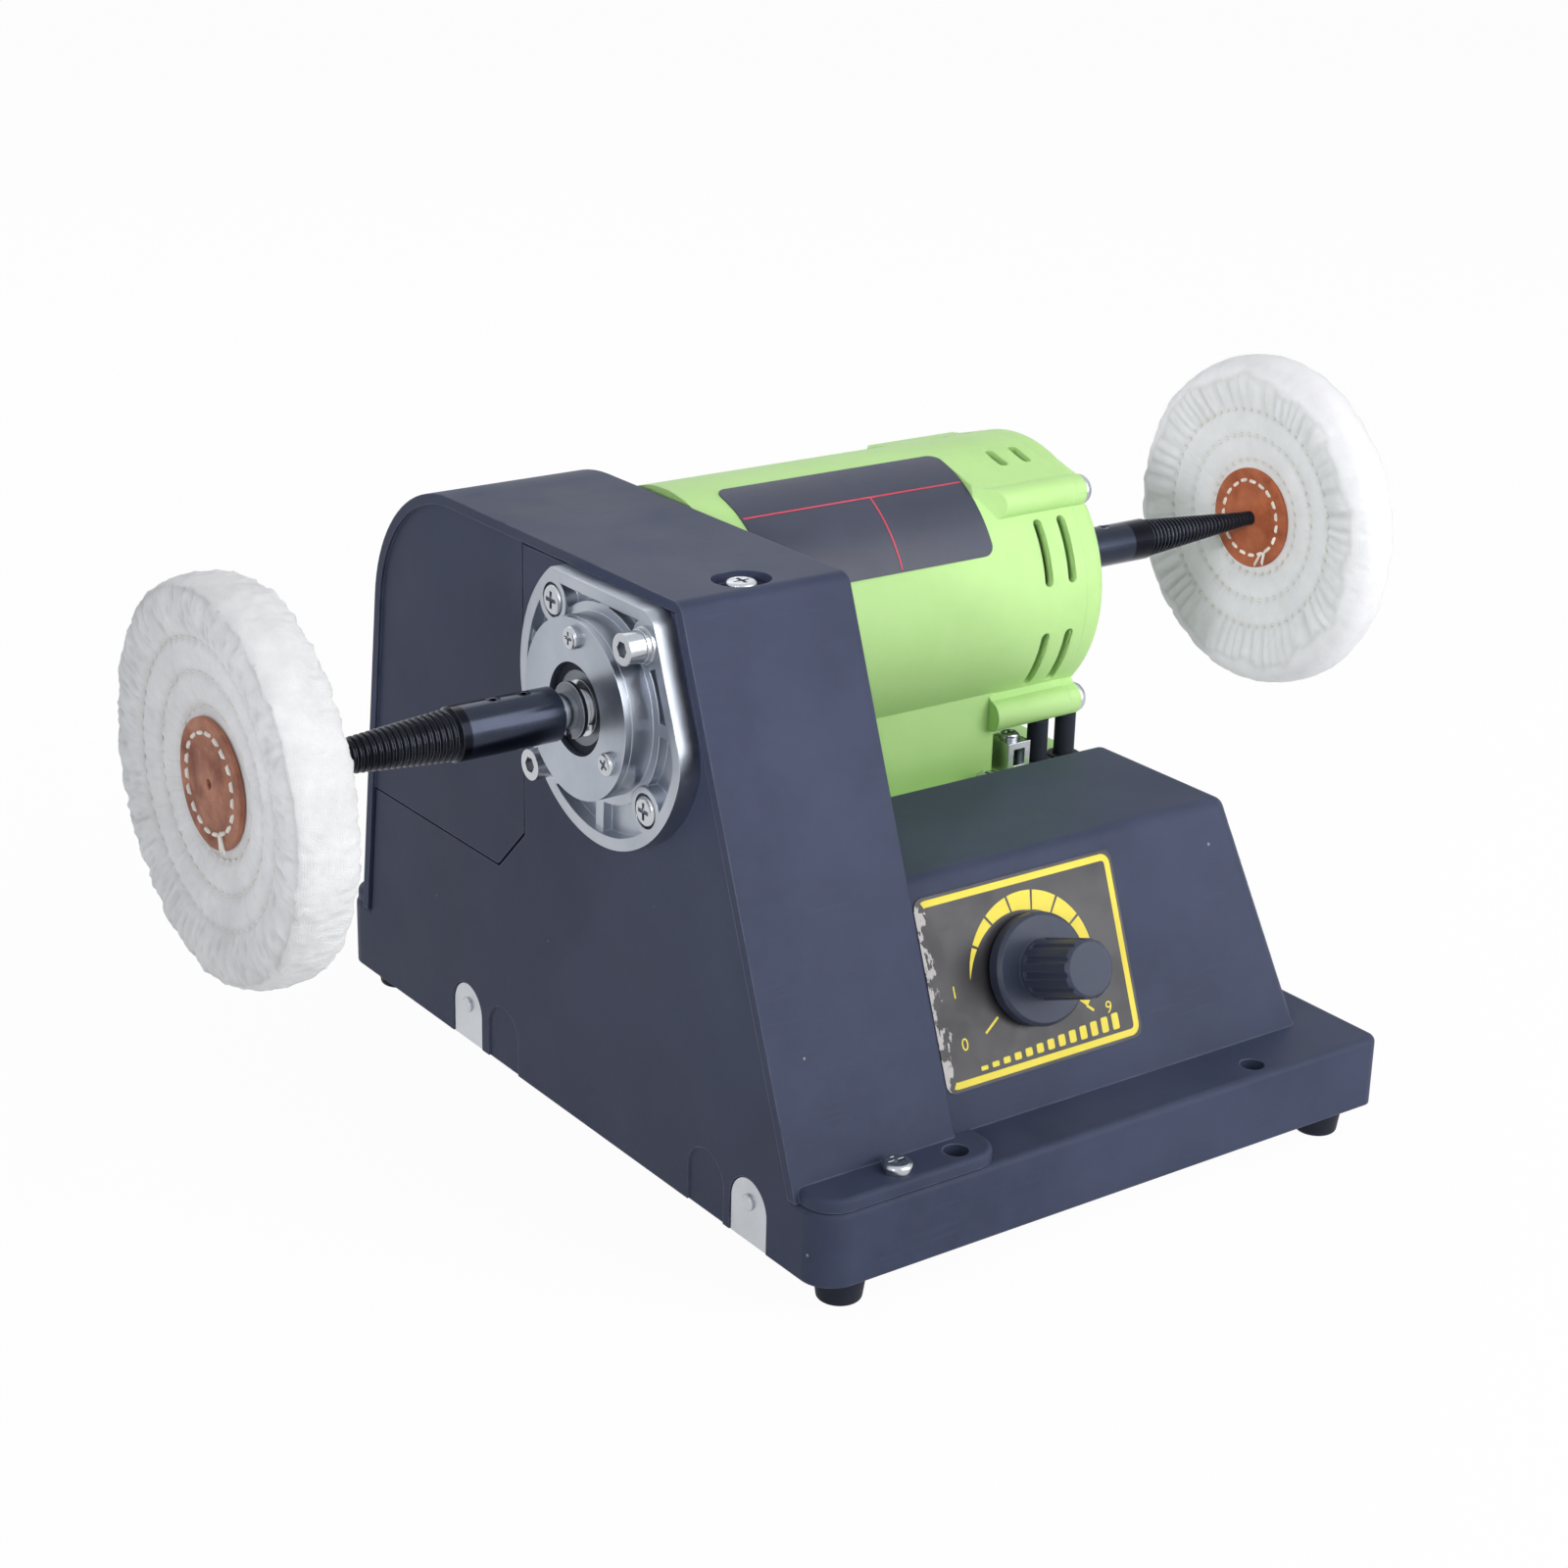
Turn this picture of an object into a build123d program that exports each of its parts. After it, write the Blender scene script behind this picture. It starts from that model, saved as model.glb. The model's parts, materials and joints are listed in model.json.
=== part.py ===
"""Bench polishing machine: two buff wheels, a belt-geared slow spindle and a direct fast spindle."""
import os
from math import atan2, cos, hypot, pi, radians, sin

from build123d import *

os.makedirs("parts", exist_ok=True)

# Millimetres. X runs along the spindles, Y from the front to the back, Z up from the bench.

# Base tray
deck_length = 144.0
base_depth = 252.0
base_corner_radius = 9.0
base_right_corner_radius = 4.0
foot_height = 9.0
tray_height = 21.0
shell_wall = 3.0
deck_edge_radius = 2.0
plate_thickness = 1.2
plate_clearance = 0.3

# Rubber feet and their screws
foot_top_diameter = 14.6
foot_bottom_diameter = 12.0
foot_edge_radius = 1.0
foot_inset = 13.0
foot_setback = 10.0
foot_well_diameter = 6.6
foot_well_depth = 4.0
pillar_diameter = 9.0
foot_screw_diameter = 3.5
foot_screw_head_height = 2.4
foot_screw_grip = 8.0

# Ears of the bottom plate
ear_width = 16.0
ear_top = 18.0
ear_screw_height = 11.5
ear_recess_depth = 1.5
ear_front = 33.0
ear_rear = 177.0
spare_recess_front = 52.5
spare_recess_rear = 156.5
spare_recess_depth = 0.5
ear_screw_head_diameter = 4.6
ear_screw_head_height = 1.1
ear_screw_reach = 6.0

# Bench bolt holes
bench_hole_diameter = 7.0
bench_hole_inset = 6.8
bench_hole_hood_inset = 5.0
bench_hole_console_offset = 99.7
bench_sleeve_diameter = 11.0

# Control console
console_foot_length = 129.7
console_top_length = 117.8
console_foot_front = 19.0
console_fold = 43.6
console_rear = 97.6
console_height = 64.4
console_edge_radius = 4.0

# Motor platform
platform_length = 136.0
platform_rear = 206.0
platform_height = 42.0

# Side panel that carries the slow spindle
panel_thickness = 4.0
panel_gap = 1.0
panel_boss_reach = 10.0
panel_lug_height = 11.0
panel_lug_width = 13.0
panel_lug_reach = 30.0
gusset_thickness = 3.0
gusset_reach = 16.0
gusset_height = 45.0
gusset_front = 52.0
gusset_rear = 204.0

# Belt hood
hood_width = 52.3
hood_side_gap = 1.7
hood_lip = 1.0
hood_wall = 3.0
hood_height = 144.0
hood_foot_front = 11.2
hood_fold_front = 66.2
hood_foot_rear = 239.2
hood_rear_lean = 0.124
hood_fold_radius = 4.0
hood_rear_radius = 45.0
hood_side_radius = 1.6
hood_lug_overhang = 6.7
hood_lug_thickness = 3.6
hood_lug_setback = 0.6
hood_lug_screw = 28.0
hood_top_screw_x = 24.5
hood_top_screw_y = 76.0
hood_top_pocket_diameter = 14.0
hood_top_pocket_depth = 3.0
hood_top_boss_depth = 7.5
hood_screw_diameter = 4.0
hood_screw_head_diameter = 8.4
hood_screw_head_height = 2.6
hood_screw_grip = 12.0
shield_front = 144.0
shield_bottom = 42.0
shield_chamfer = 14.3
shield_gap = 0.6

# Slow output spindle
output_axis_front = 95.6
output_axis_height = 139.7
flange_radius = 39.0
flange_top = 171.0
flange_setback = 1.5
flange_corner_radius = 7.0
flange_rim_width = 3.4
flange_rim_height = 6.4
flange_floor = 2.4
flange_hub_diameter = 40.0
flange_hub_reach = 21.0
flange_boss_diameter = 48.6
flange_boss_reach = 11.7
flange_step_diameter = 54.0
flange_step_reach = 5.2
flange_web_width = 8.0
flange_blend_radius = 16.0
flange_rib_width = 3.6
flange_rib_angles = (15, 92, 178, 272)
flange_bolt_offset = 22.4
flange_bolt_boss_diameter = 13.0
cap_screw_diameter = 5.0
cap_screw_head_diameter = 8.5
cap_screw_head_height = 5.0
washer_diameter = 10.0
washer_thickness = 1.0
spring_washer_thickness = 1.3
pan_screw_diameter = 4.5
pan_screw_head_diameter = 8.4
pan_screw_head_height = 2.8
retainer_thickness = 2.0
retainer_hole_diameter = 25.0
retainer_screw_circle = 39.0
retainer_screw_count = 3
retainer_screw_diameter = 3.0
retainer_screw_head_diameter = 6.2
retainer_screw_head_height = 1.9
output_journal_diameter = 15.0
output_stub_diameter = 10.0
output_stub_length = 30.0
pulley_seat_diameter = 12.0
circlip_diameter = 15.0
circlip_thickness = 1.2
circlip_groove_depth = 0.6
circlip_offset = 2.4

# Ball bearings: bore, outside diameter, width, pitch diameter, ball diameter and count
output_bearing = (15.0, 32.0, 9.0, 23.5, 4.76, 9)
motor_bearing = (10.0, 26.0, 8.0, 18.0, 4.76, 7)
bearing_land = 1.75
seal_thickness = 0.8
running_gap = 0.06
fit_gap = 0.02

# Belt drive
pulley_position = 32.0
pulley_width = 14.0
motor_pulley_diameter = 22.0
output_pulley_diameter = 47.1
groove_count = 5
groove_pitch = 2.34
groove_width = 1.3
groove_depth = 1.5
belt_back = 1.8
belt_rib_height = 1.1
belt_rib_width = 0.9
belt_clearance = 0.15
pulley_hub_diameter = 24.0
pulley_hub_length = 7.0
set_screw_diameter = 4.0

# Motor
motor_axis_front = 155.9
motor_axis_height = 133.0
motor_radius = 42.0
motor_wall = 3.0
motor_length = 132.0
motor_front_wall = 4.0
motor_nose_diameter = 36.0
motor_nose_reach = 6.0
motor_bearing_shoulder = 1.0
end_cap_length = 8.0
end_cap_edge_radius = 4.0
end_cap_hub_diameter = 34.0
end_cap_hub_depth = 2.0
end_cap_boss_reach = 4.0
end_cap_spigot_depth = 3.0
end_cap_spigot_width = 2.4
shaft_hole_diameter = 13.0
boss_radius = 4.9
boss_setback = 3.4
boss_web = 0.8
boss_crown_angle = 24.0
boss_angle = 46.5
upper_boss_offset = 0.3
lower_boss_offset = 5.0
boss_start = 96.0
boss_skew = 0.52
boss_slope = 0.72
end_screw_diameter = 4.0
end_screw_length = 18.6
end_screw_head_diameter = 9.2
end_screw_head_height = 3.2
slot_positions = (109.4, 118.4)
slot_width = 3.2
slot_arcs = ((64.0, 77.0), (9.0, 37.0), (-39.0, -11.0))
pedestal_length = 100.0
pedestal_width = 64.2
pedestal_wall = 5.0
foot_flange_length = 134.0
foot_flange_width = 88.0
foot_flange_thickness = 8.0
foot_bolt_inset = 10.0
foot_bolt_span = 82.0
foot_bolt_diameter = 5.0
foot_bolt_head_diameter = 8.5
foot_bolt_head_height = 3.2
plate_start = 11.5
plate_end = 90.5
plate_low_angle = 25.8
plate_high_angle = 79.4
rating_plate_thickness = 0.35
rating_plate_corner = 3.5

# Motor internals, measured along the shaft from the motor face
stator_start = 44.0
stator_length = 48.0
stator_bore_diameter = 45.2
air_gap = 0.6
core_slot_count = 12
core_slot_width = 2.4
core_slot_depth = 7.0
coil_inner_radius = 25.0
coil_outer_radius = 32.5
coil_overhang = 12.0
coil_slot_start = 36.0
coil_slot_end = 64.0
winding_radius = 19.5
winding_overhang = 10.0
commutator_start = 104.0
commutator_length = 14.0
commutator_diameter = 28.0
commutator_bar_count = 24
commutator_slit_width = 0.6
commutator_slit_depth = 1.0
fan_start = 12.0
fan_diameter = 70.0
fan_plate_thickness = 1.6
fan_blade_height = 10.0
fan_blade_count = 11
fan_blade_thickness = 1.6
fan_hub_diameter = 20.0
brush_width = 6.0
brush_depth = 9.0
brush_length = 12.0
brush_clearance = 0.1
brush_holder_wall = 1.0
brush_holder_length = 22.0
brush_spring_radius = 1.9
brush_spring_wire = 0.5
brush_spring_turns = 6

# Spindles and wheels
spindle_standoff = 6.2
left_barrel_length = 31.2
left_barrel_diameter = 14.5
left_taper_length = 62.5
left_taper_tip = 3.9
right_standoff = 13.0
right_barrel_length = 35.5
right_barrel_diameter = 13.0
right_taper_length = 57.0
right_taper_tip = 2.6
barrel_bore_depth = 26.0
barrel_chamfer = 0.8
taper_shoulder = 0.45
thread_pitch = 1.7
thread_depth = 0.55
spindle_screw_first = 9.0
spindle_screw_spacing = 9.0
tip_cover = 2.8
left_wheel_diameter = 100.0
right_wheel_diameter = 106.0
wheel_rim_thickness = 20.0
wheel_hub_thickness = 12.9
rim_shoulder = 1.6
leather_diameter = 33.0
leather_thickness = 1.6
leather_pinhole = 2.4
stitch_radii = (19.0, 27.5, 36.0)
stitch_half_thickness = (5.1, 6.3, 7.6)
cloth_swell = 0.9
wheel_bore_gap = 0.05

# Speed control
knob_inset = 38.5
knob_up_slope = 36.9
label_inset = 3.0
label_length = 69.2
label_low = 10.4
label_high = 63.4
label_thickness = 0.3
label_corner_radius = 3.0
knob_gap = 0.8
knob_skirt_diameter = 31.0
knob_skirt_height = 4.2
knob_grip_diameter = 17.0
knob_grip_height = 19.5
knob_flute_count = 12
knob_draft = 0.35
knob_chamfer = 1.0
knob_flute_radius = 1.2
knob_recess_diameter = 16.0
knob_recess_depth = 3.2
knob_bore_depth = 14.0
control_shaft_diameter = 6.0
control_bush_diameter = 7.0
control_bush_reach = 2.6
control_nut_flats = 10.0
control_nut_height = 2.0
control_body_diameter = 17.0
control_body_depth = 10.0

# Control board and wiring
board_inset = 68.0
board_front = 104.0
board_length = 66.0
board_width = 52.0
board_thickness = 1.6
standoff_height = 6.0
standoff_diameter = 7.0
board_screw_diameter = 3.0
board_screw_inset = 5.0
heat_sink_length = 26.0
heat_sink_width = 36.0
heat_sink_height = 18.0
heat_sink_fins = 6
lead_diameter = 6.4
lead_offsets = (116.2, 127.2)
lead_line = 124.0
lead_rise = 14.2
lead_entry_depth = 8.0
grommet_diameter = 10.0
grommet_flange_diameter = 12.0
grommet_flange_height = 1.0
clamp_offset = 102.0
clamp_length = 8.5
clamp_width = 10.0
clamp_height = 9.4
clamp_sheet = 2.1
clamp_line = 125.5
clamp_screw_diameter = 3.0
gland_inset = 66.0
gland_height = 22.0
gland_flats = 18.0
gland_nut_length = 7.0
gland_body_diameter = 13.0
gland_bore_diameter = 8.0

# Places along the base from its left edge: the console, platform and motor stand clear of the hood
console_left = hood_width + hood_side_gap
base_length = console_left + deck_length
console_foot_right = console_left + console_foot_length
console_top_right = console_left + console_top_length
platform_right = console_left + platform_length
bench_hole_left = hood_width - bench_hole_hood_inset
bench_hole_right = console_left + bench_hole_console_offset
hood_lug_right = hood_width + hood_lug_overhang
motor_face = console_left
lead_positions = [motor_face + offset for offset in lead_offsets]
clamp_left = motor_face + clamp_offset
knob_position = console_left + knob_inset
label_left = console_left + label_inset
label_right = label_left + label_length
board_left = console_left + board_inset
gland_position = console_left + gland_inset

# Places in the part's frame
hub_to_rim = (wheel_rim_thickness - wheel_hub_thickness) / 2
left_reach = (
    flange_boss_reach + retainer_thickness + spindle_standoff + left_barrel_length
    + left_taper_length + tip_cover + hub_to_rim
)
right_reach = (
    motor_face + motor_length + end_cap_boss_reach + right_standoff + right_barrel_length
    + right_taper_length + tip_cover + hub_to_rim
)
base_left = -(right_reach - left_reach) / 2
base_right = base_left + base_length
base_middle = (base_left + base_right) / 2
base_front = -base_depth / 2
base_rear = base_depth / 2
deck_z = foot_height + tray_height
plate_top = foot_height + plate_thickness
console_top = deck_z + console_height
platform_top = deck_z + platform_height
hood_top = deck_z + hood_height
hood_right = base_left + hood_width
hood_inner_right = hood_right - hood_wall
output_y = base_front + output_axis_front
output_z = output_axis_height
motor_y = base_front + motor_axis_front
motor_z = motor_axis_height
motor_left = base_left + motor_face
motor_right = motor_left + motor_length
cap_left = motor_right - end_cap_length
housing_bore = motor_radius - motor_wall
foot_flange_top = platform_top + foot_flange_thickness
lead_top = foot_flange_top + lead_rise

# Slopes: the console's front and right faces and the hood's front and rear walls
console_lean = (console_fold - console_foot_front) / console_height
console_side_lean = (console_foot_right - console_top_right) / console_height
hood_lean = (hood_fold_front - hood_foot_front) / hood_height
hood_wall_across = hood_wall * hypot(1, hood_lean)
panel_inset = (hood_wall + panel_gap) * hypot(1, hood_lean)

output_axis = Axis((0, output_y, output_z), (1, 0, 0))
motor_axis = Axis((0, motor_y, motor_z), (1, 0, 0))


def turning_plane(axis_y, axis_z):
    return Plane(origin=(0, axis_y, axis_z), x_dir=(1, 0, 0), z_dir=(0, -1, 0))


output_plane = turning_plane(output_y, output_z)
motor_plane = turning_plane(motor_y, motor_z)


def hood_front_y(z):
    return base_front + hood_foot_front + hood_lean * (z - deck_z)


def hood_rear_y(z):
    return base_front + hood_foot_rear - hood_rear_lean * (z - deck_z)


def console_front_y(z):
    return base_front + console_foot_front + console_lean * (z - deck_z)


def console_right_x(z):
    return base_left + console_foot_right - console_side_lean * (z - deck_z)


def side_plane(x):
    return Plane.YZ.offset(x)


def rectangle_between(x_low, x_high, y_low, y_high, mode=Mode.ADD):
    with Locations(((x_low + x_high) / 2, (y_low + y_high) / 2)):
        Rectangle(x_high - x_low, y_high - y_low, mode=mode)


def wedge(centre_y, centre_z, start, end, reach):
    # Angles are measured from the front, upwards, as seen from the left
    middle = (start + end) / 2
    corners = [(centre_y, centre_z)]
    for angle in (start, middle, end):
        corners.append((centre_y - reach * cos(radians(angle)), centre_z + reach * sin(radians(angle))))
    Polygon(*corners, align=None, mode=Mode.INTERSECT)


def tray_outline(plan, inset):
    # The tray's plan, rounder at the left corners than at the right ones
    rectangle_between(base_left + inset, base_right - inset, base_front + inset, base_rear - inset)
    fillet(plan.vertices().group_by(Axis.X)[0], max(base_corner_radius - inset, fit_gap))
    fillet(plan.vertices().group_by(Axis.X)[-1], max(base_right_corner_radius - inset, fit_gap))


def finish(piece, name):
    piece.part.label = name
    export_step(piece.part, f"parts/{name}.step")


# The console's sloping block, rounded where it shows
with BuildPart() as console_form:
    with BuildSketch(Plane.XY.offset(deck_z)):
        rectangle_between(
            base_left + console_left, console_right_x(deck_z), console_front_y(deck_z),
            base_front + console_rear,
        )
    with BuildSketch(Plane.XY.offset(console_top)):
        rectangle_between(
            base_left + console_left, console_right_x(console_top), console_front_y(console_top),
            base_front + console_rear,
        )
    loft()
    right_edges = console_form.edges().filter_by(lambda e: e.center().X > base_left + console_left + 1)
    shown_edges = right_edges.filter_by(lambda e: e.center().Z > deck_z + 1)
    fillet(shown_edges, console_edge_radius)

# Motor platform behind the console
with BuildPart() as platform_form:
    with BuildSketch(Plane.XY.offset(deck_z)):
        rectangle_between(
            base_left + console_left, base_left + platform_right, base_front + console_rear - shell_wall,
            base_front + platform_rear,
        )
    extrude(amount=platform_height)
    right_edges = platform_form.edges().filter_by(lambda e: e.center().X > base_left + platform_right - 1)
    fillet(right_edges.filter_by(Axis.Z), console_edge_radius)

ear_lines = (base_front + ear_front, base_front + ear_rear)
spare_lines = (base_front + spare_recess_front, base_front + spare_recess_rear)
foot_points = [
    (x, y)
    for x in (base_left + foot_inset, base_right - foot_inset)
    for y in (base_front + foot_setback, base_rear - foot_setback)
]
bench_points = [
    (base_left + x, y)
    for x in (bench_hole_left, bench_hole_right)
    for y in (base_front + bench_hole_inset, base_rear - bench_hole_inset)
]
lug_screw_points = [
    (base_left + hood_lug_screw, base_front + bench_hole_inset),
    (base_left + hood_lug_screw, base_rear - bench_hole_inset),
]
foot_bolt_points = [
    (motor_left + foot_bolt_inset + along, motor_y + side * (foot_flange_width / 2 - foot_bolt_inset / 2))
    for along in (0, foot_bolt_span)
    for side in (-1, 1)
]
lead_points = [(base_left + x, base_front + lead_line) for x in lead_positions]
flange_bolt_points = [
    (output_y + side_y * flange_bolt_offset, output_z + side_z * flange_bolt_offset)
    for side_y in (-1, 1)
    for side_z in (-1, 1)
]
cap_bolt_points = [p for p in flange_bolt_points if (p[0] - output_y) * (p[1] - output_z) < 0]
pan_bolt_points = [p for p in flange_bolt_points if (p[0] - output_y) * (p[1] - output_z) > 0]

# Slope frame: its origin is on the console's front face at the knob, its Z points out of the face
slope_angle = atan2(console_lean, 1)
slope_normal = (0, -cos(slope_angle), sin(slope_angle))
knob_z = deck_z + knob_up_slope * cos(slope_angle)
knob_plane = Plane(
    origin=(base_left + knob_position, console_front_y(knob_z), knob_z), x_dir=(1, 0, 0), z_dir=slope_normal
)

hood_top_screw = (base_left + hood_top_screw_x, base_front + hood_top_screw_y)
hood_boss_bottom = hood_top - hood_top_boss_depth
panel_lug_top = hood_boss_bottom

with BuildPart() as base_shell:
    with BuildSketch(Plane.XY.offset(foot_height)) as tray_plan:
        tray_outline(tray_plan, 0)
    extrude(amount=tray_height)
    fillet(base_shell.faces().sort_by(Axis.Z)[-1].edges(), deck_edge_radius)
    add(console_form.part)
    add(platform_form.part)
    # Hollow underside of the tray, the console and the platform
    with BuildSketch(Plane.XY.offset(foot_height)) as hollow_plan:
        tray_outline(hollow_plan, shell_wall)
    extrude(amount=tray_height - shell_wall, mode=Mode.SUBTRACT)
    cavity_low = deck_z - shell_wall - 1
    cavity_high = console_top - shell_wall
    front_wall = shell_wall * hypot(1, console_lean)
    side_wall = shell_wall * hypot(1, console_side_lean)
    with BuildSketch(Plane.XY.offset(cavity_low)):
        rectangle_between(
            base_left + console_left + shell_wall, console_right_x(cavity_low) - side_wall,
            console_front_y(cavity_low) + front_wall, base_front + console_rear - shell_wall,
        )
    with BuildSketch(Plane.XY.offset(cavity_high)):
        rectangle_between(
            base_left + console_left + shell_wall, console_right_x(cavity_high) - side_wall,
            console_front_y(cavity_high) + front_wall, base_front + console_rear - shell_wall,
        )
    loft(mode=Mode.SUBTRACT)
    with BuildSketch(Plane.XY.offset(cavity_low)):
        rectangle_between(
            base_left + console_left + shell_wall, base_left + platform_right - shell_wall,
            base_front + console_rear - shell_wall - 1, base_front + platform_rear - shell_wall,
        )
    extrude(amount=platform_top - shell_wall - cavity_low, mode=Mode.SUBTRACT)
    # Upright side panel, cut away behind the belt shield
    panel_top = hood_top - hood_wall - panel_gap
    panel_rear_inset = (hood_wall + panel_gap) * hypot(1, hood_rear_lean)
    panel_step = base_front + shield_front - shield_gap
    panel_shelf = deck_z + shield_bottom - shield_gap
    panel_root = deck_z - shell_wall
    with BuildSketch(side_plane(base_left)):
        with BuildLine():
            Polyline(
                (hood_front_y(panel_root) + panel_inset, panel_root),
                (hood_front_y(panel_top) + panel_inset, panel_top),
                (panel_step, panel_top),
                (panel_step, panel_shelf + shield_chamfer),
                (panel_step + shield_chamfer, panel_shelf),
                (hood_rear_y(panel_shelf) - panel_rear_inset, panel_shelf),
                (hood_rear_y(deck_z) - panel_rear_inset, deck_z),
                (hood_rear_y(deck_z) - panel_rear_inset, panel_root),
                close=True,
            )
        make_face()
    extrude(amount=panel_thickness)
    # Lug for the hood's top screw, and gussets
    with BuildSketch(Plane.XY.offset(panel_lug_top)):
        rectangle_between(
            base_left + panel_thickness / 2, base_left + panel_lug_reach,
            hood_top_screw[1] - panel_lug_width / 2, hood_top_screw[1] + panel_lug_width / 2,
        )
    extrude(amount=-panel_lug_height)
    for gusset_line in (gusset_front, gusset_rear):
        with BuildSketch(Plane.XZ.offset(-(base_front + gusset_line))):
            with BuildLine():
                Polyline(
                    (base_left + panel_thickness, deck_z),
                    (base_left + panel_thickness + gusset_reach, deck_z),
                    (base_left + panel_thickness, deck_z + gusset_height * 0.85),
                    close=True,
                )
            make_face()
        extrude(amount=-gusset_thickness)
    # Bosses behind the panel for the flange's screws
    with BuildSketch(side_plane(base_left + panel_thickness)):
        with Locations(*flange_bolt_points):
            Circle(flange_bolt_boss_diameter / 2)
    extrude(amount=panel_boss_reach)
    with BuildSketch(side_plane(base_left)):
        with Locations(*cap_bolt_points):
            Circle(cap_screw_diameter / 2 + fit_gap)
        with Locations(*pan_bolt_points):
            Circle(pan_screw_diameter / 2 + fit_gap)
    extrude(amount=panel_thickness + panel_boss_reach, mode=Mode.SUBTRACT)
    with BuildSketch(side_plane(base_left)):
        with Locations((output_y, output_z)):
            Circle(flange_hub_diameter / 2 + panel_gap / 4)
    extrude(amount=panel_thickness + panel_boss_reach, mode=Mode.SUBTRACT)
    # Pillars over the feet, sleeves round the bench bolts and bosses under the lug screws
    with BuildSketch(Plane.XY.offset(plate_top)):
        with Locations(*foot_points, *lug_screw_points):
            Circle(pillar_diameter / 2)
    extrude(amount=deck_z - shell_wall / 2 - plate_top)
    with BuildSketch(Plane.XY.offset(foot_height)):
        with Locations(*bench_points):
            Circle(bench_sleeve_diameter / 2)
    extrude(amount=tray_height - shell_wall / 2)
    with BuildSketch(Plane.XY.offset(plate_top)):
        with Locations(*foot_points):
            Circle(foot_screw_diameter / 2 + fit_gap)
    extrude(amount=tray_height - 2 * shell_wall, mode=Mode.SUBTRACT)
    with BuildSketch(Plane.XY.offset(deck_z)):
        with Locations(*lug_screw_points):
            Circle(hood_screw_diameter / 2 + fit_gap)
    extrude(amount=-(tray_height - 2 * shell_wall), mode=Mode.SUBTRACT)
    with BuildSketch(Plane.XY.offset(foot_height)):
        with Locations(*bench_points):
            Circle(bench_hole_diameter / 2)
    extrude(amount=tray_height, mode=Mode.SUBTRACT)
    with BuildSketch(Plane.XY.offset(panel_lug_top)):
        with Locations(hood_top_screw):
            Circle(hood_screw_diameter / 2 + fit_gap)
    extrude(amount=-panel_lug_height, mode=Mode.SUBTRACT)
    # Recesses for the bottom plate's ears, and two shallow spare ones on the panel side
    for wall_x, inward, lines, depth in (
        (base_left, 1, ear_lines, ear_recess_depth),
        (base_right, -1, ear_lines, ear_recess_depth),
        (base_left, 1, spare_lines, spare_recess_depth),
    ):
        with BuildSketch(side_plane(wall_x)):
            for line in lines:
                rectangle_between(
                    line - ear_width / 2 - plate_clearance, line + ear_width / 2 + plate_clearance,
                    foot_height, foot_height + ear_top - ear_width / 2,
                )
                with Locations((line, foot_height + ear_top - ear_width / 2)):
                    Circle(ear_width / 2 + plate_clearance)
        extrude(amount=inward * depth, mode=Mode.SUBTRACT)
    for wall_x, inward in ((base_left, 1), (base_right, -1)):
        with BuildSketch(side_plane(wall_x)):
            for line in ear_lines:
                rectangle_between(
                    line - ear_width / 2 - plate_clearance, line + ear_width / 2 + plate_clearance,
                    foot_height, plate_top + plate_clearance,
                )
        extrude(amount=inward * (panel_thickness + 1), mode=Mode.SUBTRACT)
        with BuildSketch(side_plane(wall_x)):
            with Locations(*[(line, foot_height + ear_screw_height) for line in ear_lines]):
                Circle(board_screw_diameter / 2 + fit_gap)
        extrude(amount=inward * (panel_thickness + 1), mode=Mode.SUBTRACT)
    # Holes for the motor bolts, the leads, the mains gland and the speed control
    with BuildSketch(Plane.XY.offset(platform_top)):
        with Locations(*foot_bolt_points):
            Circle(foot_bolt_diameter / 2 + fit_gap)
        with Locations(*lead_points):
            Circle(grommet_diameter / 2)
    extrude(amount=-2 * shell_wall, mode=Mode.SUBTRACT)
    with BuildSketch(Plane.XZ.offset(-(base_front + platform_rear))):
        with Locations((base_left + gland_position, deck_z + gland_height)):
            Circle(gland_body_diameter / 2 + fit_gap)
    extrude(amount=2 * shell_wall, mode=Mode.SUBTRACT)
    with BuildSketch(knob_plane):
        Circle(control_bush_diameter / 2 + fit_gap)
    extrude(amount=-2 * shell_wall, mode=Mode.SUBTRACT)
finish(base_shell, "base_shell")

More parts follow.
